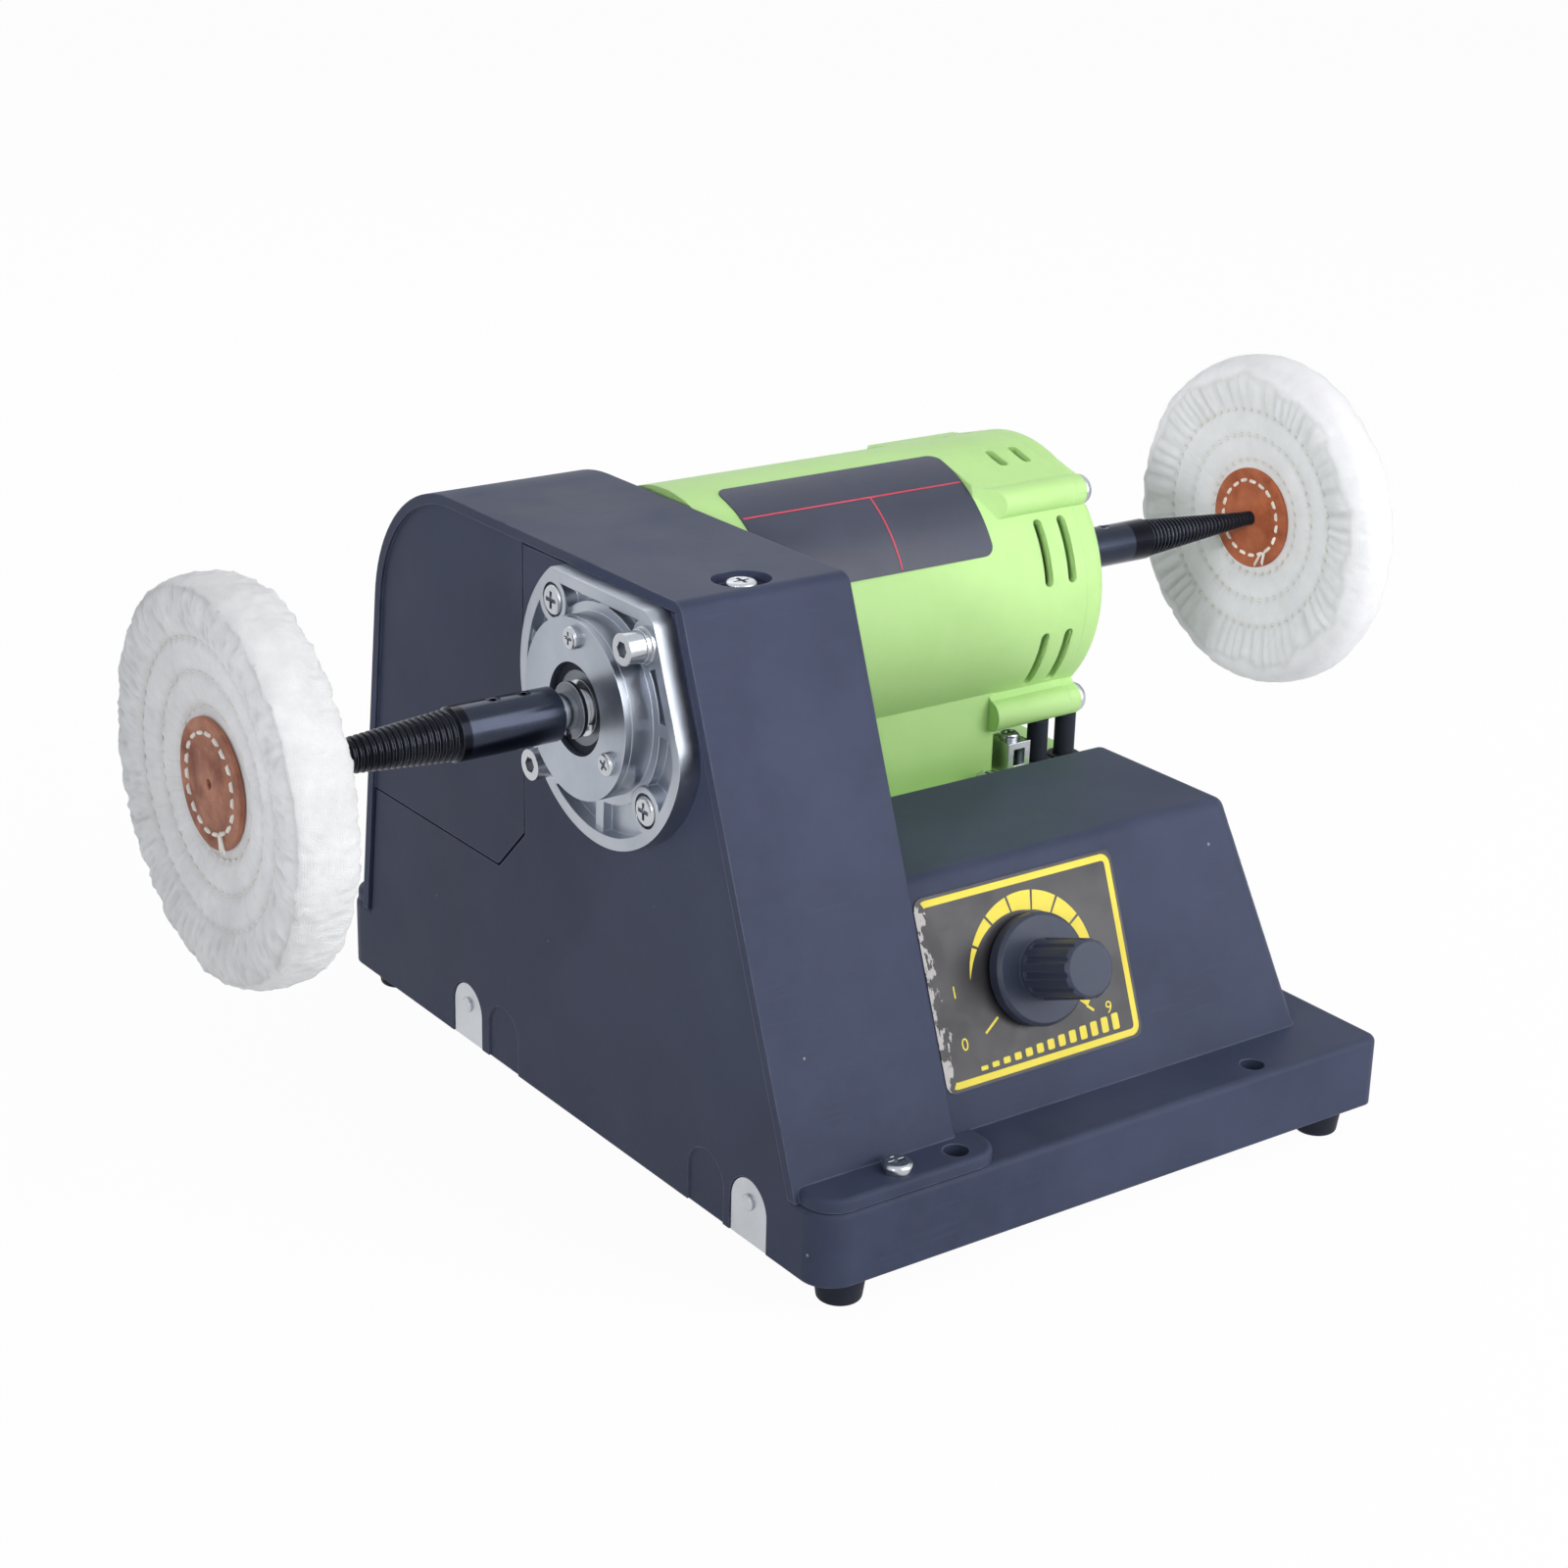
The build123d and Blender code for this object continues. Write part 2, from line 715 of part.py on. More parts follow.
board_corners = [
    (base_left + board_left + inset_x, base_front + board_front + inset_y)
    for inset_x in (board_screw_inset, board_length - board_screw_inset)
    for inset_y in (board_screw_inset, board_width - board_screw_inset)
]
with BuildPart() as bottom_plate:
    with BuildSketch(Plane.XY.offset(foot_height)) as plate_plan:
        tray_outline(plate_plan, shell_wall + plate_clearance)
        with Locations(*[(base_middle, line) for line in ear_lines]):
            Rectangle(base_length - 2 * (ear_recess_depth - plate_thickness), ear_width)
    extrude(amount=plate_thickness)
    for wall_x, inward in ((base_left, 1), (base_right, -1)):
        with BuildSketch(side_plane(wall_x + inward * (ear_recess_depth - plate_thickness))):
            for line in ear_lines:
                rectangle_between(
                    line - ear_width / 2, line + ear_width / 2, foot_height,
                    foot_height + ear_top - ear_width / 2,
                )
                with Locations((line, foot_height + ear_top - ear_width / 2)):
                    Circle(ear_width / 2)
            with Locations(*[(line, foot_height + ear_screw_height) for line in ear_lines]):
                Circle(board_screw_diameter / 2 + fit_gap, mode=Mode.SUBTRACT)
        extrude(amount=inward * plate_thickness)
    with BuildSketch(Plane.XY.offset(plate_top)):
        with Locations(*board_corners):
            Circle(standoff_diameter / 2)
    extrude(amount=standoff_height)
    with BuildSketch(Plane.XY.offset(foot_height)):
        with Locations(*foot_points):
            Circle(foot_screw_diameter / 2 + fit_gap)
        with Locations(*bench_points):
            Circle(bench_sleeve_diameter / 2 + plate_clearance)
        with Locations(*board_corners):
            Circle(board_screw_diameter / 2 + fit_gap)
    extrude(amount=plate_thickness + standoff_height, mode=Mode.SUBTRACT)
finish(bottom_plate, "bottom_plate")

with BuildPart() as ear_screws:
    for wall_x, inward in ((base_left, 1), (base_right, -1)):
        face_x = wall_x + inward * (ear_recess_depth - plate_thickness)
        for line in ear_lines:
            with BuildSketch(side_plane(face_x)):
                with Locations((line, foot_height + ear_screw_height)):
                    Circle(ear_screw_head_diameter / 2)
            extrude(amount=-inward * ear_screw_head_height)
            with BuildSketch(side_plane(face_x)):
                with Locations((line, foot_height + ear_screw_height)):
                    Circle(board_screw_diameter / 2)
            extrude(amount=inward * ear_screw_reach)
    for heads in (ear_screws.edges().group_by(Axis.X)[0], ear_screws.edges().group_by(Axis.X)[-1]):
        fillet(heads, ear_screw_head_height * 0.8)
finish(ear_screws, "ear_screws")

with BuildPart() as rubber_feet:
    with Locations(*[(x, y, 0) for x, y in foot_points]):
        Cone(
            foot_bottom_diameter / 2, foot_top_diameter / 2, foot_height,
            align=(Align.CENTER, Align.CENTER, Align.MIN),
        )
    fillet(rubber_feet.edges().group_by(Axis.Z)[0], foot_edge_radius)
    with BuildSketch(Plane.XY):
        with Locations(*foot_points):
            Circle(foot_well_diameter / 2)
    extrude(amount=foot_well_depth, mode=Mode.SUBTRACT)
    with BuildSketch(Plane.XY):
        with Locations(*foot_points):
            Circle(foot_screw_diameter / 2 + fit_gap)
    extrude(amount=foot_height, mode=Mode.SUBTRACT)
finish(rubber_feet, "rubber_feet")

with BuildPart() as foot_screws:
    with BuildSketch(Plane.XY.offset(foot_well_depth)):
        with Locations(*foot_points):
            Circle(foot_well_diameter / 2 - plate_clearance)
    extrude(amount=-foot_screw_head_height)
    with BuildSketch(Plane.XY.offset(foot_well_depth)):
        with Locations(*foot_points):
            Circle(foot_screw_diameter / 2)
    extrude(amount=plate_top - foot_well_depth + foot_screw_grip)
finish(foot_screws, "foot_screws")

# Belt hood: outer profile seen from the left
lug_front = base_front + hood_lug_setback
lug_rear = base_rear - hood_lug_setback
with BuildPart() as hood:
    with BuildSketch(side_plane(base_left - hood_lip)) as hood_outline:
        with BuildLine():
            Polyline(
                (hood_front_y(deck_z), deck_z),
                (hood_front_y(hood_top), hood_top),
                (hood_rear_y(hood_top), hood_top),
                (hood_rear_y(deck_z), deck_z),
                close=True,
            )
        make_face()
        upper_corners = hood_outline.vertices().group_by(Axis.Y)[-1].sort_by(Axis.X)
        fillet(upper_corners[0], hood_fold_radius)
        fillet(hood_outline.vertices().group_by(Axis.Y)[-1].sort_by(Axis.X)[-1], hood_rear_radius)
    extrude(amount=hood_width + hood_lip)
    right_rim = hood.faces().sort_by(Axis.X)[-1].edges().filter_by(lambda e: e.center().Z > deck_z + 1)
    fillet(right_rim, hood_side_radius)
    # Feet that lie on the deck in front and behind
    with BuildSketch(Plane.XY.offset(deck_z)) as lugs:
        rectangle_between(
            base_left + hood_lug_setback, base_left + hood_lug_right, lug_front,
            hood_front_y(deck_z) + hood_wall,
        )
        rectangle_between(
            base_left + hood_lug_setback, base_left + hood_lug_right,
            hood_rear_y(deck_z) - hood_wall, lug_rear,
        )
        outer_corners = lugs.vertices().filter_by(lambda v: abs(v.Y) > lug_rear - 1)
        fillet(outer_corners, base_corner_radius - hood_lug_setback)
    extrude(amount=hood_lug_thickness)
    lug_tops = hood.faces().filter_by(
        lambda f: abs(f.center().Z - deck_z - hood_lug_thickness) < 0.01 and f.normal_at().Z > 0.9
    )
    lug_rims = lug_tops.edges().filter_by(lambda e: abs(e.center().Y) > abs(hood_front_y(deck_z)) + 1)
    fillet(lug_rims, 1.6)
    # Hollow, open below and on the panel side
    with BuildSketch(side_plane(base_left - hood_lip - 1)) as hollow:
        with BuildLine():
            Polyline(
                (hood_front_y(deck_z - 1) + hood_wall_across, deck_z - 1),
                (hood_front_y(hood_top - hood_wall) + hood_wall_across, hood_top - hood_wall),
                (hood_rear_y(hood_top - hood_wall) - hood_wall, hood_top - hood_wall),
                (hood_rear_y(deck_z - 1) - hood_wall, deck_z - 1),
                close=True,
            )
        make_face()
        hollow_corners = hollow.vertices().group_by(Axis.Y)[-1].sort_by(Axis.X)
        fillet(hollow_corners[-1], hood_rear_radius - hood_wall)
    extrude(amount=hood_width + hood_lip - hood_wall + 1, mode=Mode.SUBTRACT)
    # Shield over the motor pulley on the panel side
    shield_y = base_front + shield_front
    shield_z = deck_z + shield_bottom
    with BuildSketch(side_plane(base_left)) as shield:
        with BuildLine():
            Polyline(
                (shield_y, hood_top - hood_wall / 2),
                (shield_y, shield_z + shield_chamfer),
                (shield_y + shield_chamfer, shield_z),
                (hood_rear_y(shield_z) - hood_wall / 2, shield_z),
                (hood_rear_y(hood_top) - hood_wall / 2, hood_top - hood_wall / 2),
                close=True,
            )
        make_face()
        rear_corner = shield.vertices().group_by(Axis.Y)[-1].sort_by(Axis.X)[-1]
        fillet(rear_corner, hood_rear_radius - hood_wall / 2)
    extrude(amount=hood_wall)
    # Boss and pocket for the top screw
    with BuildSketch(Plane.XY.offset(hood_top - hood_wall / 2)):
        with Locations(hood_top_screw):
            Circle(hood_top_pocket_diameter / 2 + hood_wall / 2)
    extrude(amount=hood_boss_bottom - hood_top + hood_wall / 2)
    with BuildSketch(Plane.XY.offset(hood_top)):
        with Locations(hood_top_screw):
            SlotCenterToCenter(2.5, hood_top_pocket_diameter)
    extrude(amount=-hood_top_pocket_depth, mode=Mode.SUBTRACT)
    with BuildSketch(Plane.XY.offset(hood_top)):
        with Locations(hood_top_screw):
            Circle(hood_screw_diameter / 2 + fit_gap)
    extrude(amount=-2 * hood_top_boss_depth, mode=Mode.SUBTRACT)
    # Holes through the lugs, and the slot that passes over the motor's nose
    with BuildSketch(Plane.XY.offset(deck_z + hood_lug_thickness)):
        with Locations(*lug_screw_points):
            Circle(hood_screw_diameter / 2 + fit_gap)
        with Locations(*bench_points[:2]):
            Circle(bench_hole_diameter / 2)
    extrude(amount=-hood_lug_thickness, mode=Mode.SUBTRACT)
    nose_slot = motor_nose_diameter / 2 + 1
    with BuildSketch(side_plane(hood_right)):
        rectangle_between(motor_y - nose_slot, motor_y + nose_slot, deck_z, motor_z)
        with Locations((motor_y, motor_z)):
            Circle(nose_slot)
    extrude(amount=-hood_wall, mode=Mode.SUBTRACT)
finish(hood, "hood")


def screw_recess(radius):
    # Cross recess cut into a screw head
    Rectangle(radius * 1.15, radius * 0.28)
    Rectangle(radius * 0.28, radius * 1.15)


lug_top = deck_z + hood_lug_thickness
hood_screw_seats = [(point, lug_top) for point in lug_screw_points]
hood_screw_seats.append((hood_top_screw, hood_top - hood_top_pocket_depth))
with BuildPart() as hood_screws:
    for point, seat_z in hood_screw_seats:
        with BuildSketch(Plane.XY.offset(seat_z)):
            with Locations(point):
                Circle(hood_screw_head_diameter / 2)
        extrude(amount=hood_screw_head_height)
        with BuildSketch(Plane.XY.offset(seat_z)):
            with Locations(point):
                Circle(hood_screw_diameter / 2)
        extrude(amount=-hood_screw_grip)
    head_rims = hood_screws.edges().filter_by(
        lambda e: any(abs(e.center().Z - z - hood_screw_head_height) < 0.01 for p, z in hood_screw_seats)
    )
    fillet(head_rims, 1.2)
    for point, seat_z in hood_screw_seats:
        with BuildSketch(Plane.XY.offset(seat_z + hood_screw_head_height)):
            with Locations(point):
                screw_recess(hood_screw_head_diameter / 2)
        extrude(amount=-hood_screw_head_height * 0.6, mode=Mode.SUBTRACT)
finish(hood_screws, "hood_screws")

# Die-cast flange on the panel's outer face: a round rim squared off under the hood's front corner
flange_face = side_plane(base_left)


def flange_front_y(z):
    return hood_front_y(z) + panel_inset + flange_setback


with BuildPart() as bearing_flange:
    with BuildSketch(flange_face) as flange_outline:
        with Locations((output_y, output_z)):
            Circle(flange_radius)
        Polygon(
            (output_y, output_z), (output_y, flange_top), (flange_front_y(flange_top), flange_top),
            (flange_front_y(output_z), output_z),
            align=None,
        )
        Polygon(
            (flange_front_y(output_z - flange_radius - 1), output_z - flange_radius - 1),
            (flange_front_y(flange_top), flange_top),
            (output_y + flange_radius + 1, flange_top),
            (output_y + flange_radius + 1, output_z - flange_radius - 1),
            align=None,
            mode=Mode.INTERSECT,
        )
        corner = flange_outline.vertices().group_by(Axis.Y)[-1].sort_by(Axis.X)[0]
        fillet(corner, flange_corner_radius)
        fillet(flange_outline.vertices().sort_by(Axis.X)[0], flange_blend_radius)
    extrude(amount=-flange_floor)
    with BuildSketch(flange_face) as flange_rim:
        add(flange_outline.sketch_local)
        offset(flange_outline.sketch_local, amount=-flange_rim_width, mode=Mode.SUBTRACT)
    extrude(amount=-flange_rim_height)
    with BuildSketch(flange_face):
        with Locations((output_y, output_z)):
            Circle(flange_boss_diameter / 2)
    extrude(amount=-flange_boss_reach)
    with BuildSketch(flange_face):
        with Locations((output_y, output_z)):
            Circle(flange_step_diameter / 2)
    extrude(amount=-flange_step_reach)
    # Ribs from the boss to the rim, and the four screw bosses
    with BuildSketch(flange_face) as flange_ribs:
        with Locations((output_y, output_z)):
            with PolarLocations(flange_radius / 2, 4, start_angle=45):
                Rectangle(flange_radius, flange_web_width)
            for angle in flange_rib_angles:
                with PolarLocations(flange_radius / 2, 1, start_angle=angle):
                    Rectangle(flange_radius, flange_rib_width)
        add(flange_outline.sketch_local, mode=Mode.INTERSECT)
    extrude(amount=-(flange_rim_height - 1.2))
    with BuildSketch(flange_face) as flange_bosses:
        with Locations(*flange_bolt_points):
            Circle(flange_bolt_boss_diameter / 2)
        add(flange_outline.sketch_local, mode=Mode.INTERSECT)
    extrude(amount=-flange_rim_height)
    with BuildSketch(side_plane(base_left - flange_rim_height)):
        with Locations(*pan_bolt_points):
            Circle(pan_screw_head_diameter / 2 + 0.6)
    extrude(amount=pan_screw_head_height * 0.8, mode=Mode.SUBTRACT)
    # Hub that passes through the panel and holds both bearings
    with BuildSketch(flange_face):
        with Locations((output_y, output_z)):
            Circle(flange_hub_diameter / 2)
    extrude(amount=flange_hub_reach)
    with BuildSketch(side_plane(base_left - flange_boss_reach)):
        with Locations((output_y, output_z)):
            Circle(output_bearing[1] / 2 + fit_gap)
    extrude(amount=output_bearing[2] + fit_gap, mode=Mode.SUBTRACT)
    with BuildSketch(side_plane(base_left + flange_hub_reach)):
        with Locations((output_y, output_z)):
            Circle(output_bearing[1] / 2 + fit_gap)
    extrude(amount=-(output_bearing[2] + fit_gap), mode=Mode.SUBTRACT)
    with BuildSketch(side_plane(base_left - flange_boss_reach)):
        with Locations((output_y, output_z)):
            Circle(output_bearing[1] / 2 - bearing_land)
    extrude(amount=flange_boss_reach + flange_hub_reach, mode=Mode.SUBTRACT)
    # Screw holes
    with BuildSketch(side_plane(base_left - flange_rim_height)):
        with Locations(*cap_bolt_points):
            Circle(cap_screw_diameter / 2 + fit_gap)
        with Locations(*pan_bolt_points):
            Circle(pan_screw_diameter / 2 + fit_gap)
    extrude(amount=flange_rim_height, mode=Mode.SUBTRACT)
    with BuildSketch(side_plane(base_left - flange_boss_reach)):
        with Locations((output_y, output_z)):
            with PolarLocations(retainer_screw_circle / 2, retainer_screw_count, start_angle=90):
                Circle(retainer_screw_diameter / 2 + fit_gap)
    extrude(amount=flange_boss_reach - 1, mode=Mode.SUBTRACT)
finish(bearing_flange, "bearing_flange")

cap_seat = base_left - flange_rim_height
cap_head_seat = cap_seat - washer_thickness - spring_washer_thickness
with BuildPart() as flange_cap_screws:
    for point in cap_bolt_points:
        with BuildSketch(side_plane(cap_head_seat)):
            with Locations(point):
                Circle(cap_screw_head_diameter / 2)
        extrude(amount=-cap_screw_head_height)
        with BuildSketch(side_plane(cap_head_seat)):
            with Locations(point):
                Circle(cap_screw_diameter / 2)
        extrude(amount=base_left + panel_thickness + panel_boss_reach - cap_head_seat)
        with BuildSketch(side_plane(cap_head_seat - cap_screw_head_height)):
            with Locations(point):
                RegularPolygon(cap_screw_head_diameter * 0.27, 6)
        extrude(amount=cap_screw_head_height * 0.6, mode=Mode.SUBTRACT)
finish(flange_cap_screws, "flange_cap_screws")

with BuildPart() as flange_washers:
    for seat_x, thickness, diameter in (
        (cap_seat, washer_thickness, washer_diameter),
        (cap_seat - washer_thickness, spring_washer_thickness, cap_screw_head_diameter + 0.6),
    ):
        for point in cap_bolt_points:
            with BuildSketch(side_plane(seat_x - fit_gap)):
                with Locations(point):
                    Circle(diameter / 2)
                    Circle(cap_screw_diameter / 2 + fit_gap, mode=Mode.SUBTRACT)
            extrude(amount=-(thickness - 2 * fit_gap))
finish(flange_washers, "flange_washers")

pan_seat = base_left - flange_rim_height + pan_screw_head_height * 0.8
with BuildPart() as flange_screws:
    for point in pan_bolt_points:
        with BuildSketch(side_plane(pan_seat)):
            with Locations(point):
                Circle(pan_screw_head_diameter / 2)
        extrude(amount=-pan_screw_head_height)
        with BuildSketch(side_plane(pan_seat)):
            with Locations(point):
                Circle(pan_screw_diameter / 2)
        extrude(amount=base_left + panel_thickness + panel_boss_reach / 2 - pan_seat)
    fillet(flange_screws.edges().group_by(Axis.X)[0], 1.2)
    for point in pan_bolt_points:
        with BuildSketch(side_plane(pan_seat - pan_screw_head_height)):
            with Locations(point):
                screw_recess(pan_screw_head_diameter / 2)
        extrude(amount=pan_screw_head_height * 0.6, mode=Mode.SUBTRACT)
finish(flange_screws, "flange_screws")

retainer_inner = base_left - flange_boss_reach
retainer_outer = retainer_inner - retainer_thickness
with BuildPart() as bearing_retainer:
    with BuildSketch(side_plane(retainer_inner)):
        with Locations((output_y, output_z)):
            Circle(flange_boss_diameter / 2)
            Circle(retainer_hole_diameter / 2, mode=Mode.SUBTRACT)
            with PolarLocations(retainer_screw_circle / 2, retainer_screw_count, start_angle=90):
                Circle(retainer_screw_diameter / 2 + fit_gap, mode=Mode.SUBTRACT)
    extrude(amount=-retainer_thickness)
finish(bearing_retainer, "bearing_retainer")

with BuildPart() as retainer_screws:
    with BuildSketch(side_plane(retainer_outer)):
        with Locations((output_y, output_z)):
            with PolarLocations(retainer_screw_circle / 2, retainer_screw_count, start_angle=90):
                Circle(retainer_screw_head_diameter / 2)
    extrude(amount=-retainer_screw_head_height)
    with BuildSketch(side_plane(retainer_outer)):
        with Locations((output_y, output_z)):
            with PolarLocations(retainer_screw_circle / 2, retainer_screw_count, start_angle=90):
                Circle(retainer_screw_diameter / 2)
    extrude(amount=retainer_thickness + flange_boss_reach - 2)
    fillet(retainer_screws.edges().group_by(Axis.X)[0], 0.9)
    with BuildSketch(side_plane(retainer_outer - retainer_screw_head_height)):
        with Locations((output_y, output_z)):
            with PolarLocations(retainer_screw_circle / 2, retainer_screw_count, start_angle=90):
                screw_recess(retainer_screw_head_diameter / 2)
    extrude(amount=retainer_screw_head_height * 0.6, mode=Mode.SUBTRACT)
finish(retainer_screws, "retainer_screws")

# Places along the slow spindle, from the panel outwards and inwards
front_bearing_x = base_left - flange_boss_reach + output_bearing[2] / 2
rear_bearing_x = base_left + flange_hub_reach - output_bearing[2] / 2
journal_front = base_left - flange_boss_reach
journal_rear = base_left + flange_hub_reach + 1.5
pulley_left = base_left + pulley_position
pulley_right = pulley_left + pulley_width
left_barrel_inner = retainer_outer - spindle_standoff
left_barrel_outer = left_barrel_inner - left_barrel_length
left_tip = left_barrel_outer - left_taper_length
circlip_x = journal_front - circlip_offset

with BuildPart() as output_shaft:
    with BuildSketch(output_plane):
        with BuildLine():
            stub_end = journal_front - output_stub_length
            Polyline(
                (stub_end, 0),
                (stub_end, output_stub_diameter / 2),
                (circlip_x - circlip_thickness - fit_gap, output_stub_diameter / 2),
                (circlip_x - circlip_thickness - fit_gap, output_stub_diameter / 2 - circlip_groove_depth),
                (circlip_x + fit_gap, output_stub_diameter / 2 - circlip_groove_depth),
                (circlip_x + fit_gap, output_stub_diameter / 2),
                (journal_front, output_stub_diameter / 2),
                (journal_front, output_journal_diameter / 2),
                (journal_rear, output_journal_diameter / 2),
                (journal_rear, pulley_seat_diameter / 2),
                (pulley_right, pulley_seat_diameter / 2),
                (pulley_right, 0),
                close=True,
            )
        make_face()
    revolve(axis=output_axis)
finish(output_shaft, "output_shaft")

with BuildPart() as circlip:
    with BuildSketch(side_plane(circlip_x)):
        with Locations((output_y, output_z)):
            Circle(circlip_diameter / 2)
            Circle(output_stub_diameter / 2 - circlip_groove_depth + fit_gap, mode=Mode.SUBTRACT)
        rectangle_between(
            output_y - 1.5, output_y + 1.5, output_z - circlip_diameter, output_z, mode=Mode.SUBTRACT
        )
    extrude(amount=-circlip_thickness)
finish(circlip, "circlip")

# Bearings: axis plane, axis, axis place, centre along X and sizes
motor_nose_x = motor_left - motor_nose_reach
drive_bearing_x = motor_nose_x + motor_bearing_shoulder + motor_bearing[2] / 2
end_bearing_x = cap_left - end_cap_hub_depth + motor_bearing[2] / 2
output_place = (output_plane, output_axis, output_y, output_z)
motor_place = (motor_plane, motor_axis, motor_y, motor_z)
bearings = (
    (output_place, front_bearing_x, output_bearing),
    (output_place, rear_bearing_x, output_bearing),
    (motor_place, drive_bearing_x, motor_bearing),
    (motor_place, end_bearing_x, motor_bearing),
)


def ring_profile(centre_x, width, low, high, pitch_radius, groove_radius):
    with Locations((centre_x, (low + high) / 2)):
        Rectangle(width, high - low)
    with Locations((centre_x, pitch_radius)):
        Circle(groove_radius, mode=Mode.SUBTRACT)


with BuildPart() as bearing_outer_rings:
    for (plane, axis, axis_y, axis_z), centre_x, (bore, outside, width, pitch, ball, count) in bearings:
        with BuildSketch(plane):
            ring_profile(
                centre_x, width, pitch / 2 + bearing_land, outside / 2, pitch / 2, ball / 2 + running_gap
            )
        revolve(axis=axis)
finish(bearing_outer_rings, "bearing_outer_rings")


def inner_rings(members):
    with BuildPart() as rings:
        for (plane, axis, axis_y, axis_z), centre_x, (bore, outside, width, pitch, ball, count) in members:
            with BuildSketch(plane):
                ring_profile(
                    centre_x, width, bore / 2 + fit_gap, pitch / 2 - bearing_land, pitch / 2,
                    ball / 2 + running_gap,
                )
            revolve(axis=axis)
    return rings


output_bearing_inner_rings = inner_rings(bearings[:2])
finish(output_bearing_inner_rings, "output_bearing_inner_rings")
motor_bearing_inner_rings = inner_rings(bearings[2:])
finish(motor_bearing_inner_rings, "motor_bearing_inner_rings")

with BuildPart() as bearing_balls:
    for (plane, axis, axis_y, axis_z), centre_x, (bore, outside, width, pitch, ball, count) in bearings:
        for step in range(count):
            turn = 2 * pi * step / count
            with Locations((centre_x, axis_y + pitch / 2 * cos(turn), axis_z + pitch / 2 * sin(turn))):
                Sphere(ball / 2)
finish(bearing_balls, "bearing_balls")

with BuildPart() as bearing_seals:
    for (plane, axis, axis_y, axis_z), centre_x, (bore, outside, width, pitch, ball, count) in bearings:
        for side in (-1, 1):
            with BuildSketch(side_plane(centre_x + side * (width / 2 - 0.2))):
                with Locations((axis_y, axis_z)):
                    Circle(pitch / 2 + bearing_land - fit_gap)
                    Circle(pitch / 2 - bearing_land + running_gap, mode=Mode.SUBTRACT)
            extrude(amount=-side * seal_thickness)
finish(bearing_seals, "bearing_seals")

# Ribbed pulleys and belt
belt_middle = (pulley_left + pulley_right) / 2
groove_centres = [belt_middle + (i - (groove_count - 1) / 2) * groove_pitch for i in range(groove_count)]


def pulley_profile(radius, bore_radius):
    points = [(pulley_left, bore_radius), (pulley_left, radius)]
    for centre in groove_centres:
        points.append((centre - groove_width / 2, radius))
        points.append((centre - groove_width / 2, radius - groove_depth))
        points.append((centre + groove_width / 2, radius - groove_depth))
        points.append((centre + groove_width / 2, radius))
    points.append((pulley_right, radius))
    points.append((pulley_right, bore_radius))
    return points


with BuildPart() as output_pulley:
    with BuildSketch(output_plane):
        with BuildLine():
            outline = pulley_profile(output_pulley_diameter / 2, pulley_seat_diameter / 2 + fit_gap)
            Polyline(*outline, close=True)
        make_face()
    revolve(axis=output_axis)
    with BuildSketch(side_plane(pulley_left)):
        with Locations((output_y, output_z)):
            Circle(pulley_hub_diameter / 2)
            Circle(pulley_seat_diameter / 2 + fit_gap, mode=Mode.SUBTRACT)
    extrude(amount=-pulley_hub_length)
    with BuildSketch(Plane.XY.offset(output_z)):
        with Locations((pulley_left - pulley_hub_length / 2, output_y)):
            Circle(set_screw_diameter / 2 + fit_gap)
    extrude(amount=pulley_hub_diameter, mode=Mode.SUBTRACT)
finish(output_pulley, "output_pulley")


def set_screws(places, axis_y, seat_z, top_z):
    points = [(x, axis_y) for x in places]
    with BuildPart() as screws:
        with BuildSketch(Plane.XY.offset(seat_z + fit_gap)):
            with Locations(*points):
                Circle(set_screw_diameter / 2)
        extrude(amount=top_z - seat_z - fit_gap)
        with BuildSketch(Plane.XY.offset(top_z)):
            with Locations(*points):
                RegularPolygon(set_screw_diameter * 0.28, 6)
        extrude(amount=-(top_z - seat_z) * 0.5, mode=Mode.SUBTRACT)
    return screws


output_pulley_screw = set_screws(
    [pulley_left - pulley_hub_length / 2], output_y, output_z + pulley_seat_diameter / 2,
    output_z + pulley_hub_diameter / 2 - 0.4,
)
finish(output_pulley_screw, "output_pulley_screw")

with BuildPart() as motor_pulley:
    with BuildSketch(motor_plane):
        with BuildLine():
            Polyline(*pulley_profile(motor_pulley_diameter / 2, motor_bearing[0] / 2 + fit_gap), close=True)
        make_face()
    revolve(axis=motor_axis)
finish(motor_pulley, "motor_pulley")


def belt_loop(reach, mode=Mode.ADD):
    with BuildSketch(mode=Mode.PRIVATE) as loop:
        with Locations((output_y, output_z)):
            Circle(output_pulley_diameter / 2 + reach)
        with Locations((motor_y, motor_z)):
            Circle(motor_pulley_diameter / 2 + reach)
        make_hull()
    add(loop.sketch, mode=mode)


belt_width = groove_count * groove_pitch
with BuildPart() as drive_belt:
    with BuildSketch(side_plane(belt_middle - belt_width / 2)):
        belt_loop(belt_clearance + belt_back)
        belt_loop(belt_clearance, mode=Mode.SUBTRACT)
    extrude(amount=belt_width)
    for centre in groove_centres:
        with BuildSketch(side_plane(centre - belt_rib_width / 2)):
            belt_loop(belt_clearance + belt_back / 2)
            belt_loop(belt_clearance - belt_rib_height, mode=Mode.SUBTRACT)
        extrude(amount=belt_rib_width)
finish(drive_belt, "drive_belt")

# Motor casing with its foot
boss_places = []
for side in (-1, 1):
    for height, offset in ((1, upper_boss_offset), (-1, lower_boss_offset)):
        circle = motor_radius + offset
        boss_places.append(
            (
                motor_y + side * circle * cos(radians(boss_angle)),
                motor_z + height * circle * sin(radians(boss_angle)),
            )
        )
boss_end = motor_length - end_cap_length
boss_ramp_left = max(boss_start - boss_radius * (2 * boss_skew + boss_slope), plate_end + 0.5)


